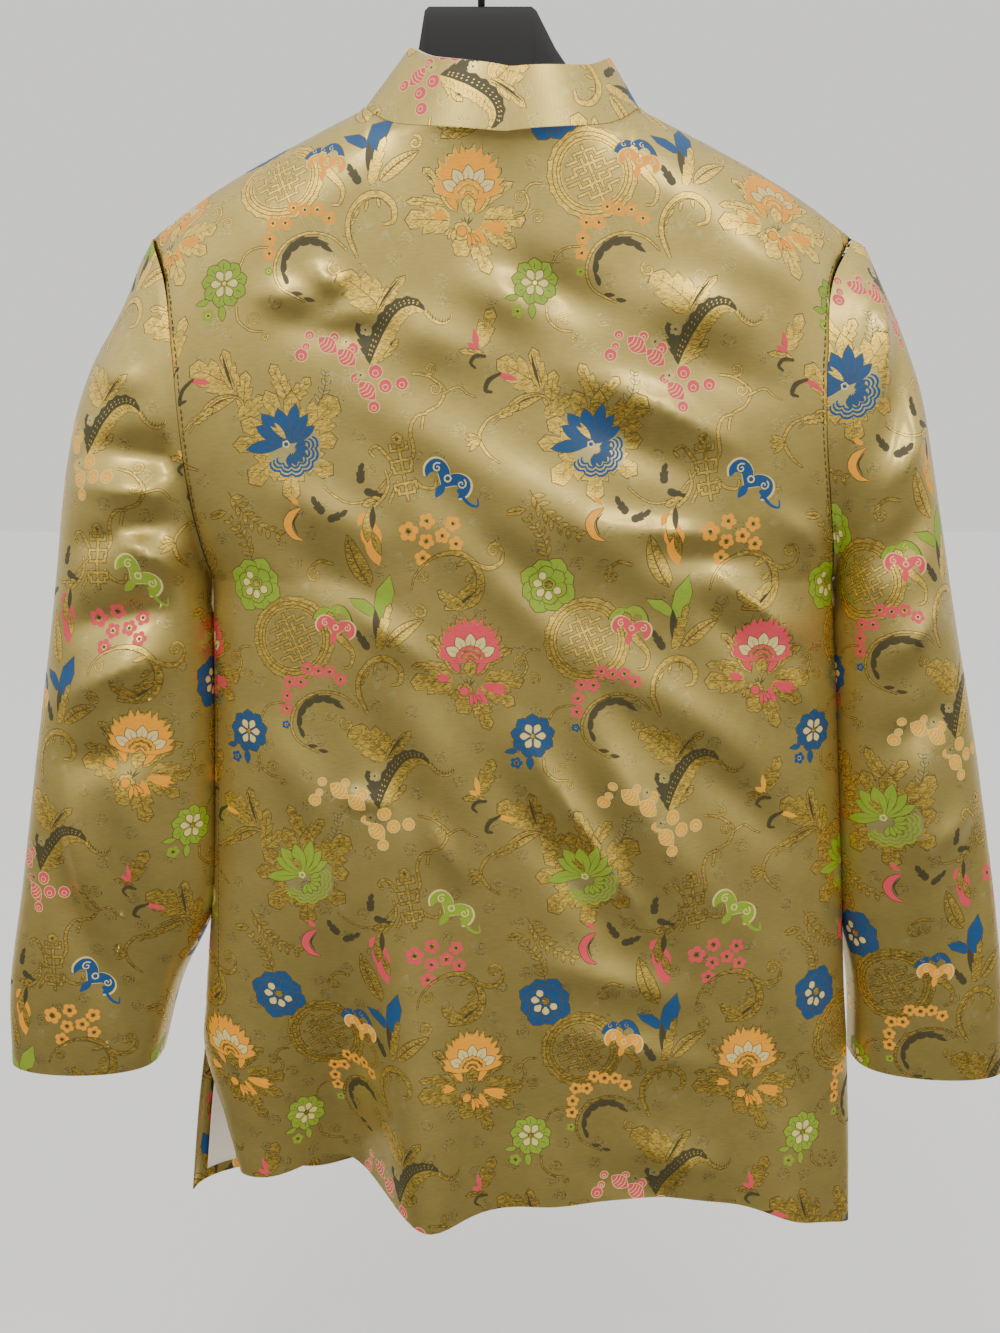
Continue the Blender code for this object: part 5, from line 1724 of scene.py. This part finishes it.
# Sleeves. Values: grid size, where the satin inside starts and stops along the sleeve, and for each
# side its lean, which way the cut runs, and the x and z that the motif's place in the repeat lies at.
sleeve = {
    "rings": 190,
    "turns": 220,
    "liningFrom": 0.06,
    "liningTo": 0.975,
    "liningIn": 0.0018,
    "liningRings": 90,
    "liningTurns": 91,
}
sleeveSides = {
    "left": {
        "tilt": -10.5, "run": -1, "at": (-0.2222, -0.5305), "motif": (0.0, -2 * cloth["repeatHigh"])
    },
    "right": {"tilt": 8.5, "run": 1, "at": (0.2262, -0.2966), "motif": (77.0, -141.0)},
}
for side, here in sleeveSides.items():
    rings = np.linspace(0, 1, sleeve["rings"])
    turns = np.linspace(-math.pi, math.pi, sleeve["turns"])
    grid = sleevePoints(side, rings, turns, sleeveFolds[side])
    p, q = sleeveCut(sleevePoints(side, rings, turns), turns, math.radians(here["tilt"]), here["run"])
    phase = phaseFrom(grid, p, q, *here["at"], here["motif"])
    shown, cut, area = panel(f"sleeveCloth{side.title()}", grid, p, q, phase, brocade)
    asPart(shown, [f"sleeve_{side}"])
    rings = np.linspace(sleeve["liningFrom"], sleeve["liningTo"], sleeve["liningRings"])
    turns = np.linspace(-math.pi, math.pi, sleeve["liningTurns"])[:-1]
    inner = sleevePoints(side, rings, turns, sleeveFolds[side])
    normal = gridNormals(inner)
    outwards = inner - inner.mean(axis=1, keepdims=True)
    normal *= np.sign((normal * outwards).sum(axis=-1, keepdims=True) + 1e-9)
    lining = gridPiece(
        f"sleeveLining{side.title()}", inner - sleeve["liningIn"] * normal, satin, side == "left", True
    )
    asPart(lining, [])
    linings.append(lining)
print("sleeves done")

# Collar. Values: its grid, its edge, the x and z that the motif's place in the repeat lies at, and how
# far the satin stands in from it and above its upper edge.
collar = {
    "angles": 260,
    "rows": 26,
    "rim": 0.0014,
    "endGap": 0.002,  # radians
    "at": (-0.0090, -0.1320),
    "motif": (142.0, -77.0),
    "liningIn": 0.0018,
    "liningRise": 0.0007,
    "liningWall": 0.0006,
}
end = math.pi - form["opening"] / form["neckHalf"] - collar["endGap"]
angles = np.linspace(-end, end, collar["angles"])
grid = collarPoints(angles, np.linspace(0, 1, collar["rows"]))
# the strip is cut along the cloth, so its pattern lies a quarter turn round
p, q = flatCut(grid, 0, collar["angles"] // 2, 0.0, 1, 1)
p, q = -q, p
phase = phaseFrom(grid, p, q, *collar["at"], collar["motif"])
collarCloth = panel("collarCloth", grid, p, q, phase, brocade, collar["rim"])[0]
asPart(collarCloth, ["collar"])
inner = collarPoints(
    np.linspace(-end, end, 120), np.linspace(0.04, 1, 12), -collar["liningIn"], collar["liningRise"]
)
collarLining = gridPiece("collarLining", inner, satin, True, False, collar["liningWall"])
asPart(collarLining, ["collar_lining"])
linings.append(collarLining)
print("collar done")


def frontPoint(share, z):
    # the fronts' surface at this share and height: the level is found from the height
    shoulders = armhole["left"][-1], armhole["right"][-1]
    top = float(topEdge(1, np.array(shoulders[0] + width * share), *shoulders)[1])
    low = float(smooth(hem, "share", "front", np.array(share)))
    armpit = form["armpitZ"]
    level = 1 + (z - armpit) / (top - armpit) if z > armpit else (z - low) / (armpit - low)
    return bodyPoints(1, np.array([share]), np.array([level]), frontFolds)[0, 0]


def closedMesh(name, points, faces, material):
    # a closed mesh of mixed faces, all turned to look outwards
    mesh = bpy.data.meshes.new(name)
    mesh.from_pydata(points.tolist(), [], faces)
    mesh.shade_smooth()
    mesh.materials.append(material)
    made = bmesh.new()
    made.from_mesh(mesh)
    bmesh.ops.recalc_face_normals(made, faces=made.faces)
    made.to_mesh(mesh)
    made.free()
    return linked(bpy.data.objects.new(name, mesh))


def tubeMesh(name, path, radius, material, sides):
    # circles square to the path, turned along it without twist, with a rounded point at each end
    path = np.asarray(path, dtype=float)
    along = np.gradient(path, axis=0)
    along /= np.linalg.norm(along, axis=1, keepdims=True)
    guide = np.array([0.0, 1.0, 0.0]) if abs(along[0][1]) < 0.9 else np.array([1.0, 0.0, 0.0])
    rings = []
    radii = np.full(len(path), radius) if np.isscalar(radius) else np.asarray(radius)
    for place, ahead, size in zip(path, along, radii):
        u = guide - ahead * guide.dot(ahead)
        u /= np.linalg.norm(u)
        guide = u
        v = np.cross(ahead, u)
        turn = np.linspace(0, 2 * math.pi, sides + 1)[:-1, None]
        rings.append(place + size * (np.cos(turn) * u + np.sin(turn) * v))
    points = np.concatenate(
        rings + [path[:1] - along[:1] * radii[0] * 0.7, path[-1:] + along[-1:] * radii[-1] * 0.7]
    )
    faces = gridFaces(len(path), sides, True).tolist()
    last = len(path) * sides
    for k in range(sides):
        faces.append([last, (k + 1) % sides, k])
        faces.append([last + 1, last - sides + k, last - sides + (k + 1) % sides])
    return closedMesh(name, points, faces, material)


def paintThread(shown, code):
    # the whole piece in one thread colour, its cut coordinates taken from x and z
    mesh = shown.data
    count = len(mesh.loops)
    layer = mesh.attributes.new("thread", "FLOAT_COLOR", "CORNER")
    layer.data.foreach_set("color", np.tile(threads[code], (count, 1)).astype(np.float32).ravel())
    place = np.zeros(len(mesh.vertices) * 3, np.float32)
    mesh.vertices.foreach_get("co", place)
    corner = np.zeros(count, np.int32)
    mesh.loops.foreach_get("vertex_index", corner)
    flat = place.reshape(-1, 3)[corner][:, [0, 2]]
    mesh.uv_layers.new(name="cut").data.foreach_set("uv", np.ascontiguousarray(flat).ravel())


# Frogs, plainly: a hairpin of rolled brocade on each front and a round knot between.
frog = {
    "count": 7,
    "topZ": -0.2120,
    "bottomZ": -0.7150,
    "start": 0.0085,
    "length": 0.054,
    "tip": 0.002,
    "cord": 0.0015,
    "clear": 0.0004,
    "spread": 0.0019,
    "knot": 0.0054,
    "knotCord": 0.0017,
}
for number in range(frog["count"]):
    z = frog["topZ"] + (frog["bottomZ"] - frog["topZ"]) * number / (frog["count"] - 1)
    for side, away in (("left", -1), ("right", 1)):
        reaches = np.linspace(frog["start"], frog["length"], 9)
        path = [frontPoint(neckMiddle + away * reach / width, z + frog["spread"]) for reach in reaches]
        path.append(frontPoint(neckMiddle + away * (frog["length"] + frog["tip"]) / width, z))
        reaches = np.linspace(frog["length"], frog["start"], 9)
        path += [frontPoint(neckMiddle + away * reach / width, z - frog["spread"]) for reach in reaches]
        path = np.array(path) + [0, frog["cord"] + frog["clear"], 0]
        shown = tubeMesh(f"frog{side.title()}{number + 1}", path, frog["cord"], brocade, 8)
        paintThread(shown, 0)
        asPart(shown, [f"frog_{side}_{number + 1}"])
    centre = frontPoint(neckMiddle, z) + np.array([0, frog["knot"] + frog["clear"], 0])
    turn = np.linspace(0, 2 * math.pi, 60)
    radius = frog["knot"] - 0.0015
    knot = np.stack([
        centre[0] + radius * np.cos(turn * 2) * (1 - 0.15 * np.cos(3 * turn)),
        centre[1] + 0.9 * radius * np.sin(3 * turn) * 0.8,
        centre[2] + radius * np.sin(turn * 2) * (1 - 0.15 * np.cos(3 * turn)),
    ], axis=1)
    shown = tubeMesh(f"knot{number + 1}", knot, frog["knotCord"], brocade, 8)
    paintThread(shown, 0)
    asPart(shown, [f"knot_{number + 1}"])
print("frogs done")

hangerRows = columnsOf(
    "x top bottom half",
    (-0.1900, -0.2010, -0.2090, 0.004),
    (-0.1860, -0.1970, -0.2140, 0.008),
    (-0.1700, -0.1840, -0.2120, 0.011),
    (-0.1250, -0.1610, -0.1930, 0.012),
    (-0.0850, -0.1430, -0.1760, 0.009),
    (-0.0600, -0.1210, -0.1640, 0.007),
    (-0.0390, -0.0880, -0.1580, 0.006),
    (-0.0350, -0.0660, -0.1560, 0.005),
    (-0.0325, -0.0635, -0.1555, 0.004),
    (0.0310, -0.0635, -0.1555, 0.004),
    (0.0340, -0.0660, -0.1560, 0.005),
    (0.0460, -0.0880, -0.1580, 0.006),
    (0.0700, -0.1210, -0.1640, 0.007),
    (0.1100, -0.1450, -0.1760, 0.009),
    (0.1500, -0.1620, -0.1930, 0.012),
    (0.1950, -0.1850, -0.2120, 0.011),
    (0.2110, -0.1980, -0.2140, 0.008),
    (0.2150, -0.2020, -0.2090, 0.004),
)


def hangerMesh(name):
    # rounded sections from end to end; the corners are squarer than an ellipse's
    xs = np.concatenate(
        [
            np.linspace(a, b, 5)[:-1] for a, b in zip(hangerRows["x"][:-1], hangerRows["x"][1:])
        ] + [hangerRows["x"][-1:]]
    )
    read = lambda key: np.interp(xs, hangerRows["x"], hangerRows[key])
    sides = 28
    turn = np.linspace(0, 2 * math.pi, sides + 1)[:-1]
    squared = lambda v: np.sign(v) * np.abs(v) ** 0.55
    halfZ = (read("top") - read("bottom"))[:, None] / 2
    middle = (read("top") + read("bottom"))[:, None] / 2
    points = np.stack([
        xs[:, None] + 0 * turn,
        read("half")[:, None] * squared(np.cos(turn)),
        middle + halfZ * squared(np.sin(turn)),
    ], axis=-1)
    faces = gridFaces(len(xs), sides, True).tolist()
    faces.append(list(range(sides)))
    faces.append(list(range((len(xs) - 1) * sides, len(xs) * sides)))
    return closedMesh(name, points.reshape(-1, 3), faces, plastic)


hangerArms = hangerMesh("hangerArms")
asPart(hangerArms, ["hanger"])

# Hook wire, in metres; the arc's start and stop in degrees.
hook = {
    "wire": 0.00225,
    "inside": 0.0190,
    "footZ": -0.0632,
    "knee": 0.012,
    "reach": 0.024,
    "start": -35,
    "stop": 205,
}
radius = hook["inside"] + hook["wire"]
start = math.radians(hook["start"])
turn = np.linspace(start, math.radians(hook["stop"]), 60)
arc = np.stack([radius * np.cos(turn), 0 * turn, radius * np.sin(turn) - hook["inside"]], axis=-1)
foot, knee = np.array([0, 0, hook["footZ"]]), np.array([0, 0, hook["footZ"] + hook["knee"]])
leave = np.array([0, 0, hook["reach"]])
arrive = hook["reach"] * np.array([-math.sin(start), 0, math.cos(start)])
t = np.linspace(0, 1, 20)[:-1, None]
# a cubic from the knee to the arc's start, with those two directions at its ends
bend = (1 + 2 * t) * (1 - t) ** 2 * knee + t * (1 - t) ** 2 * leave
bend = bend + t * t * (3 - 2 * t) * arc[0] + t * t * (t - 1) * arrive
hookWire = tubeMesh("hookWire", np.concatenate([foot[None], bend, arc]), hook["wire"], steel, 16)
asPart(hookWire, ["hook"])
print("hanger done")


def meshArea(shown):
    # the sum of the faces' areas
    made = bmesh.new()
    made.from_mesh(shown.data)
    total = sum(face.calc_area() for face in made.faces)
    made.free()
    return total


# The linings' flat cuts, set in round figures a little under each panel's.
liningCuts = {
    "liningBack": (0.470, 0.680),
    "liningFrontLeft": (0.240, 0.700),
    "liningFrontRight": (0.240, 0.700),
    "sleeveLiningLeft": (0.300, 0.520),
    "sleeveLiningRight": (0.300, 0.520),
    "collarLining": (0.455, 0.055),
}
for shown in linings:
    cut = liningCuts[shown.name]
    area = min(meshArea(shown), cut[0] * cut[1])
    print(shown.name, "area", round(meshArea(shown), 4), "cut", cut)

# A plain pale floor. The cloth's sheen takes the room's dark lower part and not the floor, which
# lights the hem too much.
floor = bpy.data.meshes.new("floor")
floor.from_pydata(
    [(-40, -40, -1.3), (40, -40, -1.3), (40, 40, -1.3), (-40, 40, -1.3)], [], [(0, 1, 2, 3)]
)
floor.materials.append(newMaterial("matt pale floor", "#ECECEC", 0.9)[0])
floorShown = linked(bpy.data.objects.new("floor", floor))
floorShown.visible_glossy = False

world = bpy.data.worlds.new("soft daylight")
bpy.context.scene.world = world
world.use_nodes = True
sky = world.node_tree.nodes["Background"]
sky.inputs["Color"].default_value = (*linear("#E6E5E1"), 1.0)
toward = addNode(world.node_tree, "TexCoord").outputs["Generated"]
ways = addNode(world.node_tree, "SeparateXYZ", None, {0: toward})
# in front a room, dark low down and bright overhead, and behind the jacket a pale wall
below = addNode(
    world.node_tree, "MapRange", None,
    {0: ways.outputs[2], 1: -0.5, 2: 0.0, 3: studio["low"], 4: studio["middle"]}
)
above = addNode(
    world.node_tree, "MapRange", None,
    {0: ways.outputs[2], 1: 0.0, 2: 0.5, 3: 0.0, 4: studio["ceiling"] - studio["middle"]}
)
room = addNode(world.node_tree, "Math", "ADD", {0: below, 1: above})
behind = addNode(
    world.node_tree, "MapRange", None, {0: ways.outputs[1], 1: 0.1, 2: 0.6, 3: 0.0, 4: 1.0}
)
strength = addNode(world.node_tree, "Mix", "FLOAT", {0: behind, 2: room, 3: studio["wall"]})
world.node_tree.links.new(strength.outputs[0], sky.inputs["Strength"])


def areaLight(name, place, aim, size, power, colour):
    # a square lamp turned to look at its aim
    data = bpy.data.lights.new(name, "AREA")
    data.size = size
    data.energy = power
    data.color = tuple(linear(colour))
    shown = linked(bpy.data.objects.new(name, data))
    shown.location = place
    shown.rotation_euler = (Vector(aim) - Vector(place)).to_track_quat("-Z", "Y").to_euler()
    return shown


areaLight("lamp", (-0.45, -1.1, 1.25), (0.0, 0.0, -0.35), 0.35, studio["lamp"], "#FFF8EC")
areaLight("secondLamp", (0.75, -1.3, 1.2), (0.0, 0.0, -0.35), 0.35, studio["second"], "#FFF9EE")

camera = bpy.data.cameras.new("camera")
camera.lens = 27.0
camera.sensor_width = 36.0
cameraShown = linked(bpy.data.objects.new("camera", camera))
cameraShown.location = (0.0115, -0.675, -0.37)
cameraShown.rotation_euler = (math.radians(81), 0, 0)
bpy.context.scene.camera = cameraShown
